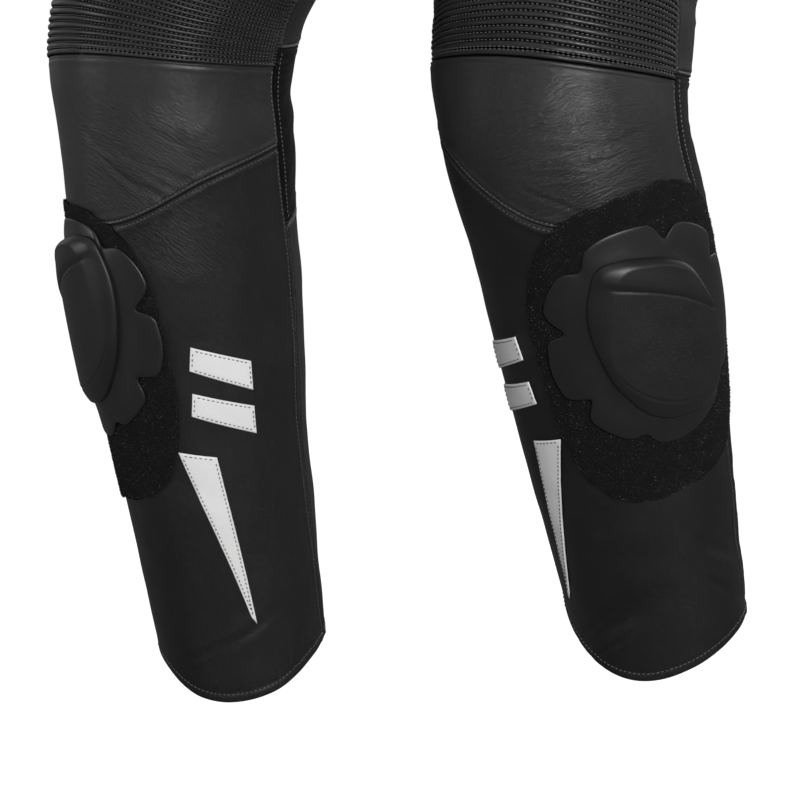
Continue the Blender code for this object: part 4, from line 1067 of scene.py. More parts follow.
class Panel:
    """One cut of the suit: its grid, the relief on it and the stitches along its edges."""

    def __init__(self, name, points, normals):
        self.name = name
        self.points = points
        self.normals = normals
        shape = points.shape[:-1]
        self.relief = np.zeros(shape)
        self.worn = np.zeros(shape)
        self.creased = np.zeros(shape)
        # deep: how strongly painted shade darkens each point
        self.deep = np.zeros(shape)
        self.way = np.zeros(points.shape)
        self.distance = {}
        self.seed = sum(ord(letter) for letter in name)

    def near(self, edge):
        if edge not in self.distance:
            line = from_edge(self.points, edge)[0]
            self.distance[edge] = line_distance(self.points, line)
        return self.distance[edge]

    def sew(self, *edges, puckers=1.0, depth=1.0):
        """Turn these edges into a stitched seam."""
        for edge in edges:
            distance, along = self.near(edge)
            self.relief += depth * seam_profile(distance)
            self.relief += puckers * pucker(distance, along, self.seed + len(edge))
            self.worn = np.maximum(self.worn, 0.8 * bell((distance - 0.0012) / 0.0009))
            # painted shade: a dark line along the seam's valley, through the deep value
            self.deep = np.maximum(self.deep, 0.9 * depth * bell(distance / 0.0007))

    def hem(self, *edges):
        """Fold these edges over a facing, held by one row of stitches."""
        for edge in edges:
            distance, along = self.near(edge)
            self.relief += -0.0009 * bell(distance / 0.0007)
            self.relief += 0.0004 * (1.0 - smooth_step((distance - HEM_ROW + 0.0012) / 0.0012))
            self.relief += -0.0004 * bell((distance - HEM_ROW) / 0.0007)
            self.relief += 1.2 * pucker(distance - 0.0025, along, self.seed + len(edge))
            self.worn = np.maximum(self.worn, 0.9 * bell((distance - 0.0004) / 0.0008))

    def outer(self, floor=RELIEF_FLOOR):
        """The outer face: hollows flatten out softly before they reach the inner face."""
        soft_from = 0.6 * floor
        room = floor - soft_from
        below = np.minimum(self.relief - soft_from, 0.0)
        lift = np.maximum(self.relief, soft_from) + room * np.tanh(below / room)
        return self.points + self.normals * lift[..., None]

    def row(self, edge, away):
        """Points and normals of the line that far in from an edge."""
        distance = from_edge(self.near(edge)[0], edge)
        outer = from_edge(self.outer(), edge)
        normals = from_edge(self.normals, edge)
        beyond = np.maximum(np.argmax(distance >= away, axis=0), 1)
        cells = np.arange(distance.shape[1])
        before, after = distance[beyond - 1, cells], distance[beyond, cells]
        t = np.clip((away - before) / np.maximum(after - before, 1e-9), 0.0, 1.0)[:, None]
        line = outer[beyond - 1, cells] * (1.0 - t) + outer[beyond, cells] * t
        run = along_line(line)
        kept = (run >= ROW_TRIM) & (run <= run[-1] - ROW_TRIM)
        return line[kept], normals[beyond, cells][kept]

    def build(self, node, finish, held, thickness=LEATHER, floor=RELIEF_FLOOR, rests_on=(),
              inner_every=4):
        outer = self.outer(floor)
        inner = self.points - self.normals * thickness
        values = {"worn": self.worn, "creased": self.creased, "deep": self.deep, "way": self.way}
        return cloth_panel(self.name, node, outer, inner, finish, values,
                           inner_every)


def panel_on(name, surface, rows, columns, side):
    return Panel(name, surface(rows, columns), outward_normals(surface, rows, columns, side))


def read_line(values, run, at):
    """A line's values at these lengths along it."""
    return np.stack([np.interp(at, run, values[:, k]) for k in range(3)], axis=-1)


STITCH_SIDES = 5
STITCH_POINTS = 2 * STITCH_SIDES + 2


def stitches(line, normals, pitch, length, radius, chance):
    """Each stitch of a row as its first end, two rings and its last end."""
    run = along_line(line)
    count = int(run[-1] / pitch) - 1
    if count < 1:
        return np.empty((0, STITCH_POINTS, 3))
    at = (np.arange(count) + 1.0) * run[-1] / (count + 1)
    centre = read_line(line, run, at)
    up = unit(read_line(normals, run, at))
    way = unit(read_line(line, run, at + 0.0008) - read_line(line, run, at - 0.0008))
    way = unit(way + np.cross(up, way) * chance.normal(0.0, 0.05, (count, 1)))
    beside = np.cross(up, way)
    reach = length / 2.0 * chance.uniform(0.92, 1.06, count)
    parts = [centre - way * reach[:, None] - up * radius * 0.9]
    for share in (-0.55, 0.55):
        middle = centre + way * (reach * share)[:, None] + up * radius * 0.45
        for angle in 2.0 * math.pi * np.arange(STITCH_SIDES) / STITCH_SIDES:
            parts.append(middle + beside * math.cos(angle) * radius + up * math.sin(angle) * radius)
    parts.append(centre + way * reach[:, None] - up * radius * 0.9)
    return np.stack(parts, axis=1)


class Thread:
    """Gathers single stitches and makes them one piece."""

    def __init__(self, name, finish="thread"):
        self.name = name
        self.finish = finish
        self.lines = []

    def add(self, line, normals, pitch=STITCH_PITCH, length=STITCH_LENGTH, radius=THREAD):
        self.lines.append((line, normals, pitch, length, radius))

    def sew(self, panel, *edges, away=STITCH_ROW, **sizes):
        for edge in edges:
            self.add(*panel.row(edge, away), **sizes)

    def build(self):
        chance = np.random.default_rng(sum(ord(letter) for letter in self.name))
        rows = np.concatenate([stitches(*line, chance) for line in self.lines])
        # where each stitch's two rings begin, and its last end
        near, far, tip = 1, 1 + STITCH_SIDES, STITCH_POINTS - 1
        every = []
        for k in range(STITCH_SIDES):
            j = (k + 1) % STITCH_SIDES
            every += [(0, near + j, near + k), (near + k, near + j, far + j, far + k),
                      (tip, far + k, far + j)]
        faces = [tuple(start + i for i in face) for face in every
                 for start in range(0, rows.shape[0] * STITCH_POINTS, STITCH_POINTS)]
        piece = new_piece(self.name, rows.reshape(-1, 3), faces, (FINISH[self.finish],))
        return settle(piece, self.finish)


# ---------------------------------------------------------------- leg panels
FRONT = ("inner", "outer")
BACK = ("outer", "inner again")


def span_size(side, levels, seams):
    """Mean length and width of the leg between two levels and two long seams."""
    coarse = np.linspace(0.0, 1.0, 7)
    points = leg_point(side, *leg_cells(side, *levels, seams, coarse, coarse))
    return float(run_lengths(points, 0)[-1].mean()), float(run_lengths(points, 1)[:, -1].mean())


def leg_span(side, levels, seams, step):
    """Fine places and turns between two levels and two long seams."""
    length, width = span_size(side, levels, seams)
    return leg_cells(side, *levels, seams, fine_shares(length, step), fine_shares(width, step))


# Finely creased leather over each knee: middle, reach and strength.
KNEE_CREASED = {
    RIGHT: (((-0.026, 0.410), (0.056, 0.040), 1.0), ((-0.046, 0.352), (0.058, 0.022), 0.55)),
    LEFT: (((0.046, 0.416), (0.058, 0.030), 1.0), ((0.020, 0.392), (0.034, 0.012), 0.6)),
}
KNEE_WAY = {RIGHT: 30.0, LEFT: 6.0}
KNEE_BEND = {RIGHT: 2.2, LEFT: 1.6}


def knee_mask(side, u, place):
    """Where the front of the knee is finely creased."""
    patchy = 0.25 * waves(u, place, 0.020, 80 + side)
    mask = np.zeros(u.shape)
    for middle, reach, strength in KNEE_CREASED[side]:
        oval = ((u - middle[0]) / reach[0]) ** 2 + ((place - middle[1]) / reach[1]) ** 2
        mask = np.maximum(mask, strength * (1.0 - smooth_step((oval - 0.25 + patchy) / 1.1)))
    return mask


def leg_panel(name, side, place, turn):
    panel = panel_on(name, partial(leg_point, side), place, turn, side)
    u = turn * DEGREES_TO_METRES
    panel.relief += leg_relief(side, place, turn)
    middle = KNEE_CREASED[side][0][0]
    panel.way = crease_way(u, place, KNEE_WAY[side], KNEE_BEND[side], 70 + side, middle)
    folds = np.clip(np.abs(leg_folds(side, u, place)) / 0.0008, 0.0, 1.0)
    panel.creased = np.clip(0.90 * knee_mask(side, u, place) + 0.20 * folds + 0.05, 0.0, 1.0)
    return panel


def lower_leg(side, tag):
    sewing = Thread(f"stitches_shin_{tag}")
    for shell, node, top, seams, step in (
            ("shin_shell", "shin_front", "shin_top", FRONT, SHIN_STEP),
            ("calf_shell", "calf", "calf_top", BACK, CALF_STEP)):
        panel = leg_panel(f"{shell}_{tag}", side, *leg_span(side, ("hem", top), seams, step))
        panel.sew("first", "last", "high")
        panel.hem("low")
        sewing.sew(panel, "first", "last", "high")
        sewing.sew(panel, "low", away=HEM_ROW)
        panel.build(f"{node}_{tag}", "leather", "hung")
    sewing.build()


def knee(side, tag):
    sewing = Thread(f"stitches_knee_{tag}")
    front = leg_panel(f"knee_shell_{tag}", side,
                      *leg_span(side, ("shin_top", "ribs_bottom"), FRONT, KNEE_STEP))
    front.sew("low", puckers=0.7)
    front.sew("high", puckers=0.1, depth=0.6)
    front.sew("first", "last", puckers=0.3, depth=0.5)
    sewing.sew(front, "first", "last", "low")
    front.build(f"knee_front_{tag}", "leather_knee", "hung")

    back = leg_panel(f"knee_stretch_{tag}", side,
                     *leg_span(side, ("calf_top", "knee_back_top"), BACK, STRETCH_STEP))
    back.sew("first", "last", puckers=0.3, depth=0.25)
    back.sew("low", "high", puckers=0.5)
    sewing.sew(back, "first", "last", away=0.0058)
    across, along = back.near("first")
    back.way = np.stack((along, across, 0.0 * along), axis=-1)
    back.build(f"knee_back_{tag}", "stretch", "stretched", STRETCH, THIN_FLOOR, inner_every=2)
    sewing.build()


# Places across one rib where the panel has a row, close together in the grooves.
RIB_STEPS = (0.0, 0.05, 0.10, 0.16, 0.26, 0.40, 0.60, 0.74, 0.84, 0.90, 0.95)
DOUBLE_ROW = 3               # rows on either side of the lowest groove that carry stitches
GROOVE = 0.0013
GROOVE_HALF = 0.00062
SHADE_HALF = 0.00090
RIB_THREAD_LIFT = 0.00035
RIB_STITCHES = {"pitch": 0.0034, "length": 0.0021, "radius": 0.00028}


def rib_rows(side):
    """For each row of the panel: its share of the height, its rib and its place across the rib."""
    chance = np.random.default_rng(17 + side)
    widths = 1.0 + chance.uniform(-0.13, 0.13, RIBS)
    widths[0] = 0.86
    borders = np.concatenate(([0.0], np.cumsum(widths))) / widths.sum()
    number = np.repeat(np.arange(RIBS), len(RIB_STEPS))
    within = np.tile(RIB_STEPS, RIBS)
    share = borders[number] + (borders[number + 1] - borders[number]) * within
    return np.append(share, 1.0), np.append(number, RIBS - 1), np.append(within, 1.0), borders


def rib_relief(side, number, within, pitch, u, edge):
    """Height of the padded ribs with stitched grooves between, how full they are, and painted shade
    along the grooves.
    """
    crest = 1.0 + np.random.default_rng(41 + side).uniform(-0.12, 0.12, RIBS)
    full = np.clip(1.0 - np.abs(2.0 * within - 1.0) ** 2.2, 0.0, 1.0) ** 0.5
    away = np.minimum(within, 1.0 - within) * pitch
    groove = bell(away / GROOVE_HALF)
    uneven = 1.0 + 0.10 * waves(u, number[:, None] * 0.006, 0.024, 5 + side)
    ends = 0.60 + 0.40 * smooth_step(edge / 0.0060)
    swell = (RIB_HEIGHT * crest[number] * full)[:, None] * uneven * ends
    return swell - (GROOVE * groove)[:, None], full, bell(away / SHADE_HALF)


def paint_groove_shade(piece, least):
    """Give the faces deep in a groove their own finish of painted shade."""
    deep = np.zeros(len(piece.data.vertices), dtype=np.float32)
    piece.data.attributes["deep"].data.foreach_get("value", deep)
    piece.data.materials.append(FINISH["groove"])
    number = len(piece.data.materials) - 1
    for face in piece.data.polygons:
        if deep[list(face.vertices)].min() > least:
            face.material_index = number


def accordion(side, tag):
    levels = ("ribs_bottom", "ribs_top")
    length, width = span_size(side, levels, FRONT)
    share, number, within, borders = rib_rows(side)
    rows = np.clip(share, SEAM_INSET / length, 1.0 - SEAM_INSET / length)
    place, turn = leg_cells(side, *levels, FRONT, rows, fine_shares(width, RIB_PANEL_STEP))
    u = turn * DEGREES_TO_METRES
    height = level_line(side, levels[1], turn) - level_line(side, levels[0], turn)
    wander = 0.006 * height * waves(u, 0.0 * u, 0.070, 3 + side)
    place = place - wander * np.sin(np.pi * rows)[:, None]
    panel = panel_on(f"accordion_shell_{tag}", partial(leg_point, side), place, turn, side)
    edge = np.minimum(panel.near("first")[0], panel.near("last")[0])
    pitch = (borders[number + 1] - borders[number]) * length
    relief, full, shade = rib_relief(side, number, within, pitch, u, edge)
    # painted shade along each groove, through the deep value
    panel.deep = np.repeat(shade[:, None], u.shape[1], axis=1)
    panel.relief += relief - 0.0008 * bell(edge / 0.0008) + 0.00012 * waves(u, place, 0.012, 12)
    crown = np.clip((full - 0.80) * 4.0, 0.0, 1.0)[:, None]
    panel.worn = crown * (0.6 + 0.4 * waves(u, place, 0.030, 4))
    panel.way = crease_way(u, place, 90.0, 0.0, 40 + side)
    panel.creased = np.repeat(0.15 * (1.0 - full)[:, None], u.shape[1], axis=1)
    # the rib stitches take the paler thread of painted light
    sewing = Thread(f"stitches_ribs_{tag}", "thread_pale")
    outer = panel.outer()
    for row in range(len(RIB_STEPS), len(rows) - 1, len(RIB_STEPS)):
        if row == len(RIB_STEPS):
            for beside in (row - DOUBLE_ROW, row + DOUBLE_ROW):
                line = outer[beside] + panel.normals[beside] * 0.0001
                sewing.add(line[4:-4], panel.normals[beside][4:-4], **RIB_STITCHES)
        else:
            line = panel.points[row] + panel.normals[row] * RIB_THREAD_LIFT
            sewing.add(line[4:-4], panel.normals[row][4:-4], **RIB_STITCHES)
    sewing.build()
    paint_groove_shade(panel.build(f"knee_accordion_{tag}", "leather_rib", "gathered"), 0.5)


def clear_of_centre(points, side):
    """Leave the zip's gap open at the middle, and press the halves together below it."""
    points = np.array(points)
    height = points[..., 2] + SHOULDER_HEIGHT
    opened = smooth_step((height - ZIP_BOTTOM + 0.003) / 0.006) * (points[..., 1] < 0.0)
    gap = CENTRE_GAP + (ZIP_HALF_GAP - CENTRE_GAP) * opened
    across = points[..., 0] * side
    reach = 0.016
    moved = gap + np.maximum(across, 0.0) * (reach - gap) / reach
    points[..., 0] = side * np.where(across < reach, np.maximum(moved, gap), across)
    return points


def thigh(side, tag, label, bottom, seams, step):
    surface = partial(leg_point, side)
    length, width = span_size(side, (bottom, "crotch"), seams)
    rows = fine_shares(length, step)
    plain_rows = np.linspace(0.5, 1.0, max(4, int(length / step / 2.0)))
    rows = np.concatenate((rows[rows < 0.5], plain_rows))
    columns = fine_shares(width, step)
    place, turn = leg_cells(side, bottom, "crotch", seams, rows, columns)
    near = np.array((0.0003, 0.0010, 0.0020, 0.0034, 0.0052, 0.0074, 0.0100, 0.0130))
    tall = WAIST_LEVEL - CROTCH_LEVEL
    upper = np.arange(0.0162, tall - 0.0060, step * (1.0))
    ends = tall - SEAM_INSET - np.array(EDGE_STEPS)[::-1]
    rise = np.concatenate((near, upper, ends[ends > upper[-1] + 0.0003]))
    upper_place = np.repeat((CROTCH_LEVEL + rise)[:, None], len(columns), axis=1)
    first, last = (seam_turn(seam, upper_place) for seam in seams)
    upper_turn = first + (last - first) * columns[None, :]
    place = np.concatenate((place, upper_place))
    turn = np.concatenate((turn, upper_turn))
    panel = Panel(f"{label}_shell_{tag}", clear_of_centre(surface(place, turn), side),
                  outward_normals(surface, place, turn, side))
    u = turn * DEGREES_TO_METRES
    panel.relief += leg_relief(side, place, turn) * (1.0 - smooth_step((place - 0.70) / 0.06))
    panel.relief += 0.0004 * waves(u, place, 0.10, 21)
    panel.relief += crease_field(u, place, HIP_CREASES[label], 50 + side)
    panel.way = crease_way(u, place, -12.0, 1.0, 60 + side)
    panel.creased = np.clip(np.abs(panel.relief) / 0.0016, 0.0, 0.5)
    panel.sew("first", "last", "low", "high")
    sewing = Thread(f"stitches_{label}_{tag}")
    sewing.sew(panel, "first", "last", "low", "high", pitch=0.0040, length=0.0030)
    sewing.build()
    panel.build(f"{label}_{tag}", "leather", "hung")


# middle, spread, count, direction, length, width, depth, bend
HIP_CREASES = {
    "thigh_front": (
        ((-0.100, 0.735), (0.018, 0.020), 7, 34.0, 0.110, 0.0060, 0.00170, -0.6),
        ((-0.020, 0.760), (0.040, 0.020), 6, 12.0, 0.120, 0.0080, 0.00120, 0.4),
        ((0.040, 0.930), (0.060, 0.014), 8, 4.0, 0.100, 0.0050, 0.00090, 0.4),
    ),
    "thigh_back": (
        ((0.250, 0.700), (0.050, 0.012), 7, -8.0, 0.150, 0.0080, 0.00180, -0.6),
        ((0.340, 0.740), (0.020, 0.020), 6, -30.0, 0.100, 0.0060, 0.00140, 0.5),
        ((0.230, 0.930), (0.070, 0.014), 8, 3.0, 0.110, 0.0050, 0.00100, 0.4),
    ),
}
# u round the trunk from its front, v the height
TRUNK_CREASES = (
    ((0.230, 1.100), (0.050, 0.030), 10, 8.0, 0.120, 0.0070, 0.00130, 0.5),
    ((0.120, 1.100), (0.050, 0.030), 8, -8.0, 0.110, 0.0070, 0.00110, -0.5),
    ((0.160, 1.250), (0.030, 0.030), 7, 52.0, 0.120, 0.0070, 0.00140, 0.5),
    ((0.080, 1.200), (0.050, 0.050), 7, 30.0, 0.150, 0.0100, 0.00110, 0.4),
    ((0.330, 1.260), (0.040, 0.030), 7, -50.0, 0.120, 0.0070, 0.00130, 0.5),
    ((0.420, 1.130), (0.080, 0.040), 10, -4.0, 0.160, 0.0080, 0.00140, 0.3),
    ((0.450, 1.350), (0.080, 0.030), 7, -20.0, 0.150, 0.0100, 0.00110, 0.3),
)
# u round the arm from underneath, v the distance from the armhole
ARM_CREASES = (
    ((0.090, 0.275), (0.020, 0.026), 16, 4.0, 0.090, 0.0042, 0.00150, 0.8),
    ((0.050, 0.290), (0.025, 0.030), 9, -16.0, 0.080, 0.0046, 0.00120, 0.8),
    ((0.130, 0.290), (0.025, 0.030), 9, 16.0, 0.080, 0.0046, 0.00120, 0.8),
    ((0.020, 0.060), (0.030, 0.030), 8, 24.0, 0.100, 0.0060, 0.00140, 0.6),
    ((0.180, 0.060), (0.040, 0.030), 7, -18.0, 0.110, 0.0070, 0.00120, 0.5),
    ((0.100, 0.450), (0.080, 0.020), 12, 8.0, 0.070, 0.0042, 0.00090, 0.6),
    ((0.300, 0.200), (0.040, 0.060), 8, 10.0, 0.100, 0.0060, 0.00090, 0.6),
)


# ---------------------------------------------------------------- trunk and arms
def trunk_rows(step):
    lower = WAIST_HEIGHT + fine_shares(ARMHOLE_BOTTOM - WAIST_HEIGHT, step) * (
        ARMHOLE_BOTTOM - WAIST_HEIGHT)
    lower = lower[lower < ARMHOLE_BOTTOM - 0.001]
    turns = np.linspace(0.0, math.pi, 45)
    middle = ARMHOLE_BOTTOM + (ARMHOLE_TOP - ARMHOLE_BOTTOM) * (1.0 - np.cos(turns)) / 2.0
    tall = BODY[-1][0] - ARMHOLE_TOP
    upper = ARMHOLE_TOP + fine_shares(tall, step) * tall
    return np.concatenate((lower, middle, upper[upper > ARMHOLE_TOP + 0.0005]))


def trunk_panel(name, node, side, first, last, step, columns):
    """A chest or back panel between two turns that depend on the level."""
    levels = trunk_rows(step)[:, None]
    turn = first(levels) + (last(levels) - first(levels)) * columns[None, :]
    place = np.repeat(levels, turn.shape[1], axis=1)
    surface = partial(trunk_point, side)
    points = surface(place, turn)
    normals = outward_normals(surface, place, turn, side)
    if node.startswith("front"):
        points = clear_of_centre(points, side)
    panel = Panel(name, points, normals)
    u = turn * TRUNK_DEGREE
    folds = crease_field(u, place, TRUNK_CREASES, 90 + side)
    panel.relief += folds + 0.0005 * waves(u, place, 0.11, 22)
    if node == "back":
        panel.relief += crease_field(TRUNK_ROUND - u, place, TRUNK_CREASES, 95)
    panel.way = crease_way(u, place, 10.0, 0.5, 66)
    panel.creased = np.clip(np.abs(panel.relief) / 0.0018, 0.0, 0.5)
    panel.sew("low", "high", "first", "last")
    sewing = Thread(f"stitches_{name}")
    sewing.sew(panel, "low", "high", "first", "last", pitch=0.0042, length=0.0032)
    sewing.build()
    panel.build(node, "leather", "hung")


def trunk():
    def before(level):
        return 90.0 - armhole_edge(level) - ARMHOLE_INSET

    columns = fine_shares(0.250, TRUNK_STEP)
    for side, tag in SIDES:
        trunk_panel(f"chest_shell_{tag}", f"front_{tag}", side, lambda level: 0.0 * level, before,
                    TRUNK_STEP, columns)
    trunk_panel("back_shell", "back", LEFT,
                lambda level: 90.0 + armhole_edge(level) + ARMHOLE_INSET,
                lambda level: 270.0 - armhole_edge(level) - ARMHOLE_INSET,
                TRUNK_STEP, fine_shares(0.460, BACK_STEP))


def collar():
    turn = np.linspace(COLLAR_OPENING, 360.0 - COLLAR_OPENING, 181)[None, :]
    rise = fine_shares(COLLAR_HEIGHT, TRIM_STEP)[:, None] * COLLAR_HEIGHT
    top = BODY[-1][0]

    def surface(rows, turns):
        flat = np.full(np.broadcast(rows, turns).shape, top)
        foot = trunk_point(LEFT, flat, turns + 0.0 * rows)
        outward = trunk_point(LEFT, flat, turns + 0.0 * rows, 1.0) - foot
        outward[..., 2] = 0.0
        points = foot + unit(outward) * (SEAM_STEP + COLLAR_FLARE * rows)[..., None]
        points[..., 2] += rows + SEAM_INSET - COLLAR_SINK * (1.0 - rows / COLLAR_HEIGHT)
        return points

    rows, turns = np.broadcast_arrays(rise, turn)
    panel = panel_on("collar_shell", surface, rows, turns, LEFT)
    panel.sew("low", puckers=0.6)
    panel.hem("high", "first", "last")
    panel.relief += 0.0006 * bell((rows - 0.5 * COLLAR_HEIGHT) / 0.012)
    panel.way = crease_way(turns * COLLAR_DEGREE, rows, 0.0, 0.0, 5)
    sewing = Thread("stitches_collar")
    sewing.sew(panel, "low")
    sewing.sew(panel, "high", "first", "last", away=HEM_ROW)
    sewing.build()
    panel.build("collar", "leather", "hung")


def chest_normals(side, degrees, arm_normals):
    """Let the sleeve's edge face the chest's edge over the shoulder."""
    angle = np.radians(degrees)
    over = (1.0 - np.cos(angle)) / 2.0
    level = ARMHOLE_BOTTOM + (ARMHOLE_TOP - ARMHOLE_BOTTOM) * over
    turn = 90.0 - ARMHOLE_HALF_TURN * np.sin(angle)
    chest = outward_normals(partial(trunk_point, side), level, turn, side)
    return unit(chest * over[..., None] + arm_normals * (1.0 - over)[..., None])


def arm_panel(name, node, side, distance, degrees, lift=0.0):
    distance, degrees = np.broadcast_arrays(distance, degrees)
    surface = partial(sleeve_point, side, lift=lift)
    along = surface(distance + NORMAL_STEP, degrees) - surface(distance, degrees)
    around = surface(distance, degrees + NORMAL_TURN) - surface(distance, degrees - NORMAL_TURN)
    normals = unit(np.cross(along, around) * side)
    near = (1.0 - smooth_step(distance / 0.012))[..., None]
    if node.startswith("sleeve"):
        normals = unit(normals * (1.0 - near) + chest_normals(side, degrees, normals) * near)
    panel = Panel(name, surface(distance, degrees), normals)
    u = (degrees % 360.0) * ARM_DEGREE
    panel.relief += crease_field(u, distance, ARM_CREASES, 130 + side)
    panel.relief += 0.0004 * waves(degrees * ARM_DEGREE, distance, 0.08, 23)
    panel.way = crease_way(degrees * ARM_DEGREE, distance, 3.0, 0.8, 67)
    panel.creased = np.clip(np.abs(panel.relief) / 0.0016, 0.0, 0.55)
    return panel


def arms(side, tag):
    sewing = Thread(f"stitches_sleeve_{tag}")
    cut = 360.0 / ARMHOLE_POINTS * UNDERARM_POINTS
    tall = CUFF_START - SEAM_INSET - SLEEVE_START
    distance = (SLEEVE_START + fine_shares(tall, SLEEVE_STEP) * tall)[:, None]
    for label, first, last in (("outer", cut, 360.0 - cut), ("under", -cut, cut)):
        width = math.radians(last - first) * 0.058
        degrees = first + fine_shares(width, SLEEVE_ROUND_STEP) * (last - first)
        panel = arm_panel(f"sleeve_{label}_shell_{tag}", f"sleeve_{label}_{tag}", side,
                          distance, degrees[None, :])
        panel.sew("low", "high", "first", "last")
        sewing.sew(panel, "low", "high", "first", "last", pitch=0.0040, length=0.0030)
        panel.build(f"sleeve_{label}_{tag}", "leather", "hung")
    tall = ARM_END - CUFF_START - SEAM_INSET
    distance = (CUFF_START + SEAM_INSET + fine_shares(tall, TRIM_STEP) * tall)[:, None]
    opening = 360.0 * CUFF_OPENING
    degrees = 90.0 + opening + fine_shares(0.250, CUFF_ROUND_STEP) * (360.0 - 2.0 * opening)
    panel = arm_panel(f"cuff_shell_{tag}", f"cuff_{tag}", side, distance, degrees[None, :],
                      SEAM_STEP)
    panel.sew("low", puckers=0.6)
    panel.hem("high")
    sewing.sew(panel, "low")
    sewing.sew(panel, "high", away=HEM_ROW)
    panel.build(f"cuff_{tag}", "leather", "hung")
    sewing.build()


# ---------------------------------------------------------------- knee slider
def shin_point(side, across, along, lift):
    turn = SLIDER_TURN[side] + np.degrees(across / SLIDER_RADIUS)
    place = SLIDER_PLACE[side] + along
    return leg_point(side, place, turn, lift + fullness(side, place, turn))


def scallop(angle):
    degrees = (np.degrees(angle) + 45.0) % 360.0 - 45.0
    reach = smooth_rows(LOBES, degrees)[..., 0]
    for notch, depth in NOTCHES:
        away = turn_between(degrees, notch)
        reach = reach - depth * bell(away / NOTCH_WIDTH)
    return reach


def patch_outline(angle):
    ragged = 0.004 * np.sin(31.0 * angle + 1.0) + 0.003 * np.sin(53.0 * angle)
    ragged = ragged + 0.004 * np.sin(17.0 * angle)
    return 1.0 + 0.13 * np.sin(2.0 * angle) ** 2 + ragged


def puck_row(angle):
    """Reach of the puck's outline and width of its flank at that angle."""
    degrees = (np.degrees(angle) + 73.0) % 360.0 - 73.0
    return np.moveaxis(smooth_rows(PUCK_SHAPE, degrees), -1, 0)


def puck_outline(angle):
    return puck_row(angle)[0]


def pad_place(centre, half, outline, lean, radius, angle):
    """Metres outward and upward from the slider's centre, for a point of the pad's disc."""
    u, v = radius * np.cos(angle), radius * np.sin(angle)
    reach = 1.0 + (outline(angle) - 1.0) * radius**4
    across = centre[0] + half[0] * (u * (1.0 + lean[1] * v) - lean[0] * v) * reach
    return across, centre[1] + half[1] * v * reach


def set_down(across, along, placed):
    """Turn a pad's point about the slider's centre, then shift it."""
    turn = math.radians(placed[2])
    return (across * math.cos(turn) - along * math.sin(turn) + placed[0],
            across * math.sin(turn) + along * math.cos(turn) + placed[1])


def taken_up(across, along, placed):
    """The pad's own point for one on the shin."""
    turn = math.radians(placed[2])
    across, along = across - placed[0], along - placed[1]
    return (across * math.cos(turn) + along * math.sin(turn),
            along * math.cos(turn) - across * math.sin(turn))


def turned_pad(name, side, centre, half, outline, lean, placed, profile, spokes, height, finish):
    """A closed pad on the shin: a profile of radius and height share, carried round an outline."""
    radius, share = np.array(profile).T
    angle = np.linspace(0.0, 2.0 * math.pi, spokes, endpoint=False)[None, :]
    radius = radius[:, None] + 0.0 * angle
    share = share[:, None] + 0.0 * angle
    across, along = set_down(*pad_place(centre, half, outline, lean, radius, angle), placed)
    u, v = radius * np.cos(angle), radius * np.sin(angle)
    points = shin_point(side, across, along, height(u, v, radius, share))
    rings, count = points.shape[:2]
    poles = [points[0].mean(axis=0), points[-1].mean(axis=0)]
    vertices = np.concatenate((points.reshape(-1, 3), np.array(poles)))
    index = np.arange(rings * count).reshape(rings, count)
    index = np.concatenate((index, index[:, :1]), axis=1)
    flip = side == LEFT
    faces = grid_quads(index, flip).tolist()
    poles_at = rings * count
    for ring, pole, turned in ((index[0], poles_at, not flip), (index[-1], poles_at + 1, flip)):
        for a, b in zip(ring, ring[1:]):
            faces.append((pole, b, a) if turned else (pole, a, b))
    piece = new_piece(name, vertices, faces, (FINISH[finish],), smooth_angle=50.0)
    return piece, u, v


def rounded_edge():
    """The outer end of a pad's profile: round over, down and back underneath."""
    over = [(0.965, 1.0), (0.978, 0.97), (0.988, 0.86), (0.995, 0.66)]
    under = [(1.0, 0.40), (0.998, 0.12), (0.992, 0.0), (0.86, 0.0), (0.0, 0.0)]
    return over + under


# Angle round the puck, reach of its outline, width of its flank.
PUCK_SHAPE = (
    (-73.0, 1.05, 0.14), (-57.0, 1.08, 0.10), (-30.0, 0.98, 0.08), (0.0, 0.97, 0.07),
    (23.0, 1.00, 0.08), (38.0, 1.06, 0.08), (55.0, 1.03, 0.07), (76.0, 0.99, 0.07),
    (98.0, 1.03, 0.09), (116.0, 1.08, 0.20), (130.0, 1.03, 0.28), (148.0, 0.99, 0.31),
    (170.0, 0.97, 0.27), (190.0, 0.99, 0.16), (203.0, 1.03, 0.14), (218.0, 1.05, 0.175),
    (231.0, 1.07, 0.20), (247.0, 1.045, 0.215), (267.0, 1.01, 0.195), (287.0, 1.05, 0.14),
)
# The groove under the puck's cap, in the shares of its disc.
CAP_LINE = (
    (-0.40, 0.75), (-0.355, 0.744), (-0.143, 0.693), (0.041, 0.629), (0.229, 0.541),
    (0.422, 0.430), (0.577, 0.326), (0.775, 0.187), (1.0, 0.02),
)
CROWN_LINE_FROM = 192.0      # degrees round the puck where its crown ends in a crisp line
CROWN_LINE_TO = 312.0
LINE_SCALE = 0.85 * PUCK_HALF[1]     # metres for a share of the disc, at those two lines


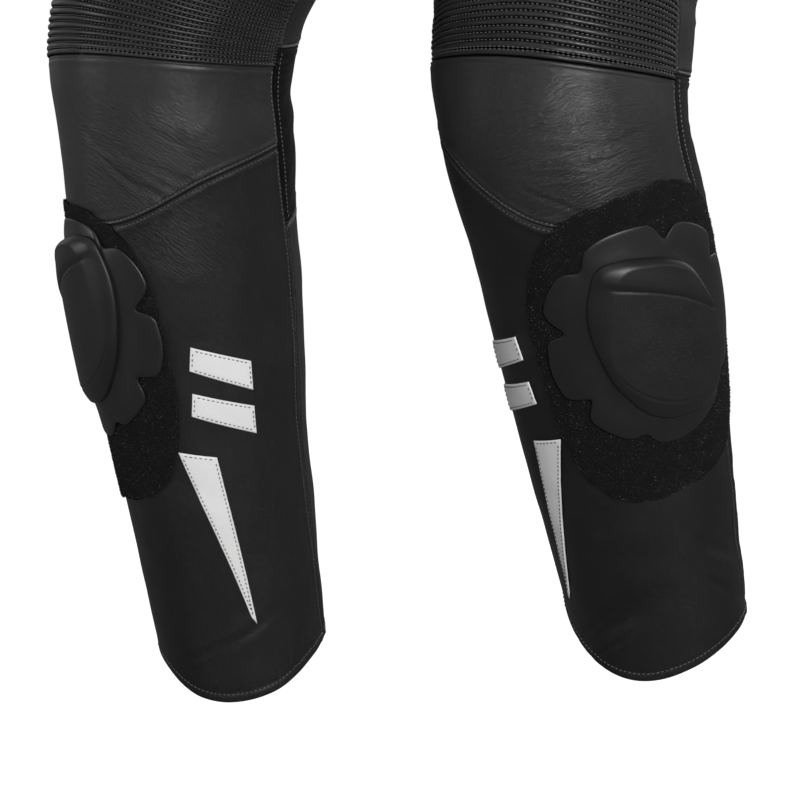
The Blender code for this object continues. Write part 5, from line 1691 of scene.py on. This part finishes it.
def puck_lift(bottom):
    def lift(u, v, radius, share):
        angle = np.arctan2(v, u)
        degrees = np.degrees(angle) % 360.0
        width = puck_row(angle)[1]
        inward = np.clip((1.0 - radius) / width, 0.0, 1.0)
        flank = 0.62 * np.sqrt(1.0 - (1.0 - inward) ** 2) + 0.38 * inward
        crown = 0.89 + 0.11 * (1.0 - radius**2) + 0.03 * v
        top = PUCK_EDGE + (PUCK_HEIGHT - PUCK_EDGE) * flank * crown
        cap = (v - np.interp(u, *np.array(CAP_LINE).T)) * LINE_SCALE
        groove = smooth_step((u + 0.42) / 0.12) * bell(cap / 0.00085)
        swell = smooth_step(cap / 0.0050) * (1.0 - 0.7 * smooth_step((cap - 0.0070) / 0.0130))
        shaped = 0.00125 * swell * smooth_step((u + 0.62) / 0.24) - 0.00085 * groove
        crisp = smooth_step((degrees - CROWN_LINE_FROM) / 14.0)
        crisp = crisp * smooth_step((CROWN_LINE_TO - degrees) / 14.0)
        beyond = (radius - 1.0 + width) * LINE_SCALE
        shaped -= crisp * 0.00085 * bell(beyond / 0.00080)
        shaped -= crisp * 0.00035 * smooth_step(beyond / 0.0012)
        inside = smooth_step((1.0 - radius) / 0.05)
        return bottom + (top + shaped * inside) * share
    return lift


def slab_lift(bottom, thick):
    def lift(u, v, radius, share):
        return bottom + thick * share
    return lift


def plate_lift(side, bottom):
    """A plate that thins to its lobes and rises in a soft fillet to the puck's foot."""
    def lift(u, v, radius, share):
        own = pad_place(BASE_CENTRE, BASE_HALF, scallop, (0.0, 0.0), radius, np.arctan2(v, u))
        across, along = taken_up(*set_down(*own, BASE_SET[side]), PUCK_SET[side])
        puck_v = (along - PUCK_CENTRE[1]) / PUCK_HALF[1]
        puck_u = (across - PUCK_CENTRE[0]) / PUCK_HALF[0] + PUCK_SKEW * puck_v
        out = np.hypot(puck_u, puck_v) / puck_outline(np.arctan2(puck_v, puck_u))
        fillet = 0.0014 * bell(np.maximum(out - 0.97, 0.0) / 0.10)
        thin = 0.60 + 0.40 * smooth_step((1.0 - radius) / 0.16)
        return bottom + (BASE_THICK * thin + fillet) * share
    return lift


def tufts(side, radius, angle, reach, rise, width, seed):
    """Small leaning pyramids rooted in the patch, each with its own share of dust."""
    chance = np.random.default_rng(seed)
    own = pad_place((0.0, 0.0), PATCH_HALF, patch_outline, (0.0, 0.0), radius, angle)
    across, along = set_down(*own, PATCH_SET[side])
    on_plate = taken_up(across, along, BASE_SET[side])
    beyond = np.hypot((on_plate[0] - BASE_CENTRE[0]) / BASE_HALF[0],
                      (on_plate[1] - BASE_CENTRE[1]) / BASE_HALF[1])
    free = beyond > 0.80
    across, along = across[free], along[free]
    count = len(across)
    root = shin_point(side, across, along, np.full(count, PATCH_LIFT + PATCH_THICK - 0.0003))
    above = shin_point(side, across, along, np.full(count, PATCH_LIFT + PATCH_THICK + 0.002))
    out = unit(above - root)
    way = unit(chance.normal(0.0, 1.0, (count, 3)))
    way = square_to(out, way)
    beside = np.cross(out, way)
    size = chance.uniform(0.6, 1.3, count)[:, None]
    corners = []
    for k in range(3):
        turn = 2.0 * math.pi * k / 3.0
        corners.append(root + (beside * math.cos(turn) + way * math.sin(turn)) * width * size)
    tall = rise * size * chance.uniform(0.7, 1.2, (count, 1))
    corners.append(root + way * reach * size + out * tall)
    dusty = chance.uniform(0.0, 1.0, count) < 0.34
    dust = np.where(dusty, chance.uniform(0.0, 1.0, count) ** 1.6, 0.0)
    return np.stack(corners, axis=1).reshape(-1, 3), np.repeat(dust, 4)


FIELD_TUFTS = 15000
RIM_TUFTS = 1800


def pile(side, tag):
    """The patch's tufts, with longer fibres frayed along its edge."""
    chance = np.random.default_rng(210 + side)
    inner = np.sqrt(chance.uniform(0.0, 0.985, FIELD_TUFTS))
    outer = 1.0 - np.abs(chance.normal(0.0, 0.010, RIM_TUFTS))
    inner_turn = chance.uniform(0.0, 2.0 * math.pi, FIELD_TUFTS)
    outer_turn = chance.uniform(0.0, 2.0 * math.pi, RIM_TUFTS)
    short, dust = tufts(side, inner, inner_turn, 0.00045, 0.00080, 0.00042, 5 + side)
    frayed, pale = tufts(side, outer, outer_turn, 0.00130, 0.00050, 0.00014, 8 + side)
    vertices = np.concatenate((short, frayed))
    starts = 4 * np.arange(len(vertices) // 4)[:, None]
    faces = np.concatenate([starts + np.array(face) for face in ((0, 1, 3), (1, 2, 3), (2, 0, 3))])
    piece = new_piece(f"patch_pile_{tag}", vertices, faces.tolist(), (FINISH["pile"],),
                      smooth_angle=30.0)
    point_values(piece, "worn", np.concatenate((dust, pale)))
    return settle(piece, "pile")


def knee_slider(side, tag):
    spokes = 240
    base_bottom = PATCH_LIFT + PATCH_THICK + LAYER_GAP
    puck_bottom = base_bottom + BASE_THICK + LAYER_GAP
    flat = [(r, 1.0) for r in (0.02, 0.25, 0.45, 0.62, 0.76, 0.87, 0.93)]
    patch, _, _ = turned_pad(
        f"loop_patch_{tag}", side, (0.0, 0.0), PATCH_HALF, patch_outline, (0.0, 0.0),
        PATCH_SET[side], flat + rounded_edge(), spokes, slab_lift(PATCH_LIFT, PATCH_THICK), "loop")
    settle(patch, "loop", f"slider_patch_{tag}")
    pile(side, tag)

    flat = [(r, 1.0) for r in np.linspace(0.02, 0.955, 24)]
    edge = [(0.972, 0.97), (0.986, 0.88), (0.996, 0.66), (1.0, 0.36),
            (0.997, 0.08), (0.99, 0.0), (0.02, 0.0)]
    base, u, v = turned_pad(
        f"slider_plate_{tag}", side, BASE_CENTRE, BASE_HALF, scallop, (0.0, 0.0), BASE_SET[side],
        flat + edge, spokes, plate_lift(side, base_bottom), "slider")
    radius = np.hypot(u, v).ravel()
    point_values(base, "worn", 0.7 * bell((radius - 0.985) / 0.02))
    settle(base, "slider", f"slider_base_{tag}")

    rings = np.concatenate((np.linspace(0.02, 0.50, 6),
                            np.linspace(0.52, 0.985, 38),
                            np.linspace(0.988, 0.998, 4)))
    foot = [(1.0, 0.86), (1.0, 0.45), (0.995, 0.10), (0.985, 0.0), (0.5, 0.0), (0.02, 0.0)]
    profile = [(r, 1.0) for r in rings] + foot
    puck, u, v = turned_pad(
        f"slider_block_{tag}", side, PUCK_CENTRE, PUCK_HALF, puck_outline,
        (PUCK_SKEW, PUCK_TAPER), PUCK_SET[side], profile, spokes, puck_lift(puck_bottom), "slider")
    point_values(puck, "worn", bell(((u - 0.1) ** 2 + (v + 0.1) ** 2) / 0.5).ravel())
    settle(puck, "slider", f"slider_puck_{tag}")


def stripes(side, tag):
    """White leather stripes sewn on the shin, their edges turned down."""
    sewing = Thread(f"stitches_stripes_{tag}")
    for label, corners in STRIPES:
        top_inner, top_outer, low_outer, low_inner = np.asarray(corners)
        rows = fine_shares(0.040, TRIM_STEP)[:, None, None]
        columns = fine_shares(0.044, TRIM_STEP)[None, :, None]
        left = low_inner + (top_inner - low_inner) * rows
        right = low_outer + (top_outer - low_outer) * rows
        cells = left + (right - left) * columns
        place, turn = cells[..., 0] + STRIPE_RISE[side], cells[..., 1]
        points = leg_point(side, place, turn, STRIPE_LIFT + STRIPE_THICK)
        normals = outward_normals(partial(leg_point, side), place, turn, side)
        panel = Panel(f"{label}_shell_{tag}", points, normals)
        edges = [panel.near(edge)[0] for edge in ("low", "high", "first", "last")]
        distance = np.minimum.reduce(edges)
        panel.relief += leg_relief(side, place, turn)
        panel.relief -= 0.0006 * bell(distance / 0.0005)
        panel.relief -= 0.0002 * bell((distance - STRIPE_ROW) / 0.0005)
        panel.worn = 0.4 * bell((distance - 0.0008) / 0.0006)
        panel.way = crease_way(turn * DEGREES_TO_METRES, place, 0.0, 0.0, 9)
        sewing.sew(panel, "low", "high", "first", "last", away=STRIPE_ROW)
        panel.build(f"{label}_{tag}", "white_leather", "stretched", STRIPE_THICK, THIN_FLOOR,
                    (f"shin_shell_{tag}",))
    sewing.build()


# ---------------------------------------------------------------- zip
ZIP_TAPE_HALF = 0.0150
ZIP_TAPE_THICK = 0.0010
TAPE_GAP = 0.0006
ZIP_TAPE_SAG = 6.25


def zip_line(level):
    """The zip's line down the front, its way up and its outward normal."""
    point = trunk_point(LEFT, level, 0.0)
    step = trunk_point(LEFT, level + NORMAL_STEP, 0.0) - trunk_point(LEFT, level - NORMAL_STEP, 0.0)
    up = unit(step)
    return point, up, np.cross(np.broadcast_to((1.0, 0.0, 0.0), up.shape), up)


def zip_tape():
    level = np.linspace(ZIP_BOTTOM + 0.002, ZIP_TOP_LEVEL, 180)
    columns = np.linspace(-ZIP_TAPE_HALF, ZIP_TAPE_HALF, 21)
    middle, _, normal = zip_line(level)
    across = np.zeros((len(level), len(columns), 3))
    across[..., 0] = columns[None, :]
    depth = LEATHER + TAPE_GAP + (columns**2 * ZIP_TAPE_SAG)[None, :, None]
    outer = middle[:, None, :] + across - normal[:, None, :] * depth
    inner = outer - normal[:, None, :] * ZIP_TAPE_THICK
    piece = closed_wall("zip_tape_cloth", outer, inner, (FINISH["tape"], FINISH["tape"]))
    settle(piece, "tape", "zip_tape")


# across, half height, lift of each section of one tooth, from its grip to its root
TOOTH = (
    (-0.0009, 0.00042, 0.0014),
    (0.0004, 0.00046, 0.0017),
    (0.0028, 0.00040, 0.0015),
    (0.0031, 0.00034, 0.0003),
)
TOOTH_PITCH = 0.00125


def zip_teeth():
    """Two rows of moulded teeth that close on each other."""
    step = TOOTH_PITCH * 1.0
    level = np.arange(ZIP_BOTTOM + 0.006, SLIDER_LEVEL - 0.004, step)
    middle, up, normal = zip_line(level)
    hand = np.where(np.arange(len(level)) % 2 == 0, 1.0, -1.0)[:, None]
    beside = np.zeros_like(middle)
    beside[:, 0] = 1.0
    corners = []
    for across, tall, lift in TOOTH:
        for sign in (-1.0, 1.0):
            corners.append((across, sign * tall, lift))
            corners.append((across, sign * tall, 0.0))
    parts = [middle + beside * hand * a + up * b + normal * (c - LEATHER - TAPE_GAP + 0.00005)
             for a, b, c in corners]
    vertices = np.stack(parts, axis=1).reshape(-1, 3)
    ring_faces = []
    for k in range(3):
        near, far = 4 * k, 4 * k + 4
        # each ring is low top, low foot, high top, high foot
        for a, b in ((0, 2), (2, 3), (3, 1), (1, 0)):
            ring_faces.append((near + a, near + b, far + b, far + a))
    ring_faces += [(0, 1, 3, 2), (12, 14, 15, 13)]
    faces = []
    for number in range(len(level)):
        start = 16 * number
        turned = hand[number, 0] < 0.0
        for face in ring_faces:
            moved = tuple(start + i for i in face)
            faces.append(moved[::-1] if turned else moved)
    piece = new_piece("zip_teeth", vertices, faces, (FINISH["metal"],), smooth_angle=35.0)
    return settle(piece, "metal")


# ---------------------------------------------------------------- zip slider and its pull
# Outlines and levels in millimetres, from the slider's middle: across, up the zip, out.
SHIELD = (
    (-2.6, -7.4), (2.6, -7.4), (3.7, -2.0), (5.4, 2.4), (5.4, 6.6), (1.5, 7.4),
    (0.0, 6.2), (-1.5, 7.4), (-5.4, 6.6), (-5.4, 2.4), (-3.7, -2.0),
)
SHIELD_LEVELS = (
    (0.3, 1.0), (0.35, 0.45), (0.7, 0.1), (1.0, 0.0), (1.4, 0.0), (1.45, 0.5),
    (1.95, 0.5), (2.0, 0.0), (2.4, 0.0), (2.8, 0.15), (3.0, 0.5), (3.1, 1.0),
)
BRIDGE_SECTION = ((-1.7, -0.55), (1.7, -0.55), (1.7, 0.55), (-1.7, 0.55))
BRIDGE_REACH = (3.3, 2.6, 3.9)       # half its length, its foot and its rise
PULL_LIFT = 0.0048
LOOP = ((-4.25, -7.7), (4.25, -7.7), (4.25, 0.0), (-4.25, 0.0))
LOOP_WIRE = 0.65
TAB = (
    (-2.2, -33.6), (2.2, -33.6), (3.8, -29.5), (3.5, -14.0),
    (2.6, -7.8), (-2.6, -7.8), (-3.5, -14.0), (-3.8, -29.5),
)
TAB_LEVELS = (
    (-0.55, 1.6), (-0.88, 1.25), (-0.9, 0.7), (-0.8, 0.25), (-0.5, 0.0),
    (0.5, 0.0), (0.8, 0.25), (0.9, 0.7), (0.88, 1.25), (0.55, 1.6),
)
GRIP_LEVELS = ((0.4, 0.0), (0.70, 0.05), (0.82, 0.25))
GRIP_FROM, GRIP_TO, GRIP_COUNT = -29.5, -15.5, 7


def rounded(corners, radius, steps=6):
    corners = np.array(corners)
    share = np.linspace(0.0, 1.0, steps)[:, None]
    parts = []
    for k, corner in enumerate(corners):
        before = corner + unit(corners[k - 1] - corner) * radius
        after = corner + unit(corners[(k + 1) % len(corners)] - corner) * radius
        through = 2.0 * corner * share * (1.0 - share)
        parts.append(before * (1.0 - share) ** 2 + through + after * share**2)
    return np.concatenate(parts)


def ring_quads(rings, count, closed):
    """Faces between rings of count points; closed joins the last ring to the first."""
    faces = []
    for ring in range(rings if closed else rings - 1):
        a, b = ring * count, ((ring + 1) % rings) * count
        for k in range(count):
            ahead = (k + 1) % count
            faces.append((a + k, a + ahead, b + ahead, b + k))
    return faces


def end_caps(rings, count):
    return [tuple(range(count))[::-1], tuple(range((rings - 1) * count, rings * count))]


def loft(outline, levels):
    """One outline at several levels, drawn in at each by its own inset."""
    ahead = np.roll(outline, -1, axis=0) - np.roll(outline, 1, axis=0)
    outward = unit(np.stack((ahead[:, 1], -ahead[:, 0]), axis=-1))
    rings = [np.column_stack((outline - outward * inset, np.full(len(outline), level)))
             for level, inset in levels]
    count = len(outline)
    faces = ring_quads(len(levels), count, False) + end_caps(len(levels), count)
    return np.concatenate(rings), faces


def swept(path, section, axis, closed):
    """A section carried along a flat path; its first share lies along the axis."""
    ahead = np.roll(path, -1, axis=0) - np.roll(path, 1, axis=0)
    if not closed:
        ahead[0], ahead[-1] = path[1] - path[0], path[-1] - path[-2]
    beside = np.cross(np.array(axis), unit(ahead))
    points = (path[:, None, :] + section[None, :, :1] * np.array(axis)
              + section[None, :, 1:] * beside[:, None, :])
    faces = ring_quads(len(path), len(section), closed)
    if not closed:
        faces += end_caps(len(path), len(section))
    return points.reshape(-1, 3), faces


def hardware(name, parts, lift):
    """Join parts given in millimetres, set them on the zip and turn their faces outward."""
    point, up, normal = (row[0] for row in zip_line(np.array([SLIDER_LEVEL])))
    axes = np.array(((1.0, 0.0, 0.0), up, normal))
    vertices, faces, start = [], [], 0
    for points, its_faces in parts:
        vertices.append(points)
        faces += [tuple(start + i for i in face) for face in its_faces]
        start += len(points)
    placed = point + normal * lift + 0.001 * np.concatenate(vertices) @ axes
    piece = new_piece(name, placed, faces, (FINISH["metal"],))
    build = bmesh.new()
    build.from_mesh(piece.data)
    bmesh.ops.recalc_face_normals(build, faces=build.faces)
    build.to_mesh(piece.data)
    build.free()
    piece.data.set_sharp_from_angle(angle=math.radians(34.0))
    return piece


def zip_slider():
    half, foot, rise = BRIDGE_REACH
    turn = np.linspace(-math.pi / 2.0, math.pi / 2.0, 25)
    arch = np.column_stack((0.0 * turn, half * np.sin(turn), foot + rise * np.cos(turn) ** 0.6))
    body = loft(rounded(SHIELD, 0.8), SHIELD_LEVELS)
    bridge = swept(arch, rounded(BRIDGE_SECTION, 0.35, 4), (1.0, 0.0, 0.0), False)
    settle(hardware("zip_slider_body", (body, bridge), 0.0), "metal", "zip_slider")


def zip_pull():
    """The loop through the bridge and the tab that hangs from it, with a ridged grip."""
    turn = np.linspace(0.0, 2.0 * math.pi, 12, endpoint=False)
    wire = LOOP_WIRE * np.column_stack((np.cos(turn), np.sin(turn)))
    flat = rounded(LOOP, 1.7)
    path = np.column_stack((flat, 0.0 * flat[:, 0]))
    parts = [swept(path, wire, (0.0, 0.0, 1.0), True), loft(rounded(TAB, 1.3), TAB_LEVELS)]
    for middle in np.linspace(GRIP_FROM, GRIP_TO, GRIP_COUNT):
        bar = ((-1.7, middle - 0.4), (1.7, middle - 0.4), (1.7, middle + 0.4), (-1.7, middle + 0.4))
        parts.append(loft(rounded(bar, 0.3, 4), GRIP_LEVELS))
    settle(hardware("zip_pull_tab", parts, PULL_LIFT), "metal", "zip_pull", body="pull")


# ---------------------------------------------------------------- studio
def plain(name, colour, rough, glow=0.0):
    material = bpy.data.materials.new(name)
    material.use_nodes = True
    shader = material.node_tree.nodes["Principled BSDF"]
    shader.inputs["Base Color"].default_value = (*colour, 1.0)
    shader.inputs["Roughness"].default_value = rough
    shader.inputs["Emission Color"].default_value = (1.0, 1.0, 1.0, 1.0)
    shader.inputs["Emission Strength"].default_value = glow
    return material


def aim(thing, target):
    way = Vector(target) - thing.location
    thing.rotation_euler = way.to_track_quat("-Z", "Y").to_euler()


def around(target, azimuth, elevation, distance):
    """A place seen from the target at that azimuth from the front, and that elevation."""
    flat = math.cos(math.radians(elevation)) * distance
    turn = math.radians(azimuth)
    return (target[0] + flat * math.sin(turn), target[1] - flat * math.cos(turn),
            target[2] + math.sin(math.radians(elevation)) * distance)


def softbox(name, lit, azimuth, elevation, distance, size, power, spread):
    light = bpy.data.lights.new(name, "AREA")
    light.shape = "RECTANGLE"
    light.size, light.size_y = size
    light.energy = power
    light.spread = math.radians(spread)
    lamp = linked(name, light)
    lamp.location = around(lit, azimuth, elevation, distance)
    aim(lamp, lit)


FLOOR_LEVEL = -SHOULDER_HEIGHT
FLOOR_HALF = 120.0
ROOM_RADIUS = 110.0
TARGET = (-0.0011, -0.0009, -1.11)
LIT = (0.0, 0.0, -0.95)
CAMERA_AZIMUTH = 40.0
CAMERA_ELEVATION = 5.5
CAMERA_DISTANCE = 3.4
LENS = 216.72
RIGHT_KNEE = (-0.183, -0.03, -0.98)
# name, aim, azimuth, elevation, distance, size, power, spread of the beam
LIGHTS = (
    ("key", LIT, 57.0, 9.0, 2.2, (0.9, 0.7), 40.0, 180.0),
    ("kicker", RIGHT_KNEE, -32.0, 8.0, 0.9, (0.25, 0.55), 0.2, 40.0),
    ("top", LIT, -10.0, 62.0, 3.2, (1.8, 1.4), 8.0, 180.0),
    ("fill_left", LIT, -100.0, 14.0, 3.2, (0.8, 1.6), 4.0, 180.0),
    ("fill_right", LIT, 126.0, 16.0, 3.2, (0.8, 1.6), 6.0, 180.0),
    ("back", LIT, 190.0, 25.0, 3.4, (2.0, 2.0), 18.0, 180.0),
)
AIR = 0.13


def camera():
    lens = bpy.data.cameras.new("camera")
    lens.lens = LENS
    lens.sensor_width = 36.0
    lens.sensor_fit = "HORIZONTAL"
    lens.clip_end = 400.0
    seat = linked("camera", lens)
    seat.location = around(TARGET, CAMERA_AZIMUTH, CAMERA_ELEVATION, CAMERA_DISTANCE)
    aim(seat, TARGET)
    bpy.context.scene.camera = seat


def only_seen(thing):
    """Keep a stage piece out of the light on the suit and out of its reflections."""
    thing.visible_diffuse = False
    thing.visible_glossy = False
    thing.visible_shadow = False


def studio():
    corners = [(a * FLOOR_HALF, b * FLOOR_HALF, FLOOR_LEVEL)
               for a, b in ((-1, -1), (1, -1), (1, 1), (-1, 1))]
    mesh = bpy.data.meshes.new("studio_floor")
    mesh.from_pydata(corners, [], [(0, 1, 2, 3)])
    mesh.materials.append(plain("studio_white", (0.30, 0.30, 0.30), 0.8, 0.98))
    floor = linked("studio_floor", mesh)
    only_seen(floor)
    bpy.ops.mesh.primitive_uv_sphere_add(segments=48, ring_count=24, radius=ROOM_RADIUS)
    room = bpy.context.object
    room.name = "studio_room"
    room.data.shade_smooth()
    room.data.materials.append(plain("studio_room_white", (0.0, 0.0, 0.0), 1.0, 1.0))
    only_seen(room)
    for light in LIGHTS:
        softbox(*light)
    world = bpy.data.worlds.new("studio_air")
    world.use_nodes = True
    sky = world.node_tree.nodes["Background"]
    sky.inputs["Color"].default_value = (1.0, 1.0, 1.0, 1.0)
    sky.inputs["Strength"].default_value = AIR
    bpy.context.scene.world = world
    bpy.context.scene.view_settings.view_transform = "Standard"


camera()
studio()
for leg_side, leg_tag in SIDES:
    lower_leg(leg_side, leg_tag)
    knee(leg_side, leg_tag)
    accordion(leg_side, leg_tag)
    thigh(leg_side, leg_tag, "thigh_front", "ribs_top", FRONT, THIGH_FRONT_STEP)
    thigh(leg_side, leg_tag, "thigh_back", "knee_back_top", BACK, THIGH_BACK_STEP)
    knee_slider(leg_side, leg_tag)
    stripes(leg_side, leg_tag)
    arms(leg_side, leg_tag)
trunk()
collar()
zip_tape()
zip_teeth()
zip_slider()
zip_pull()
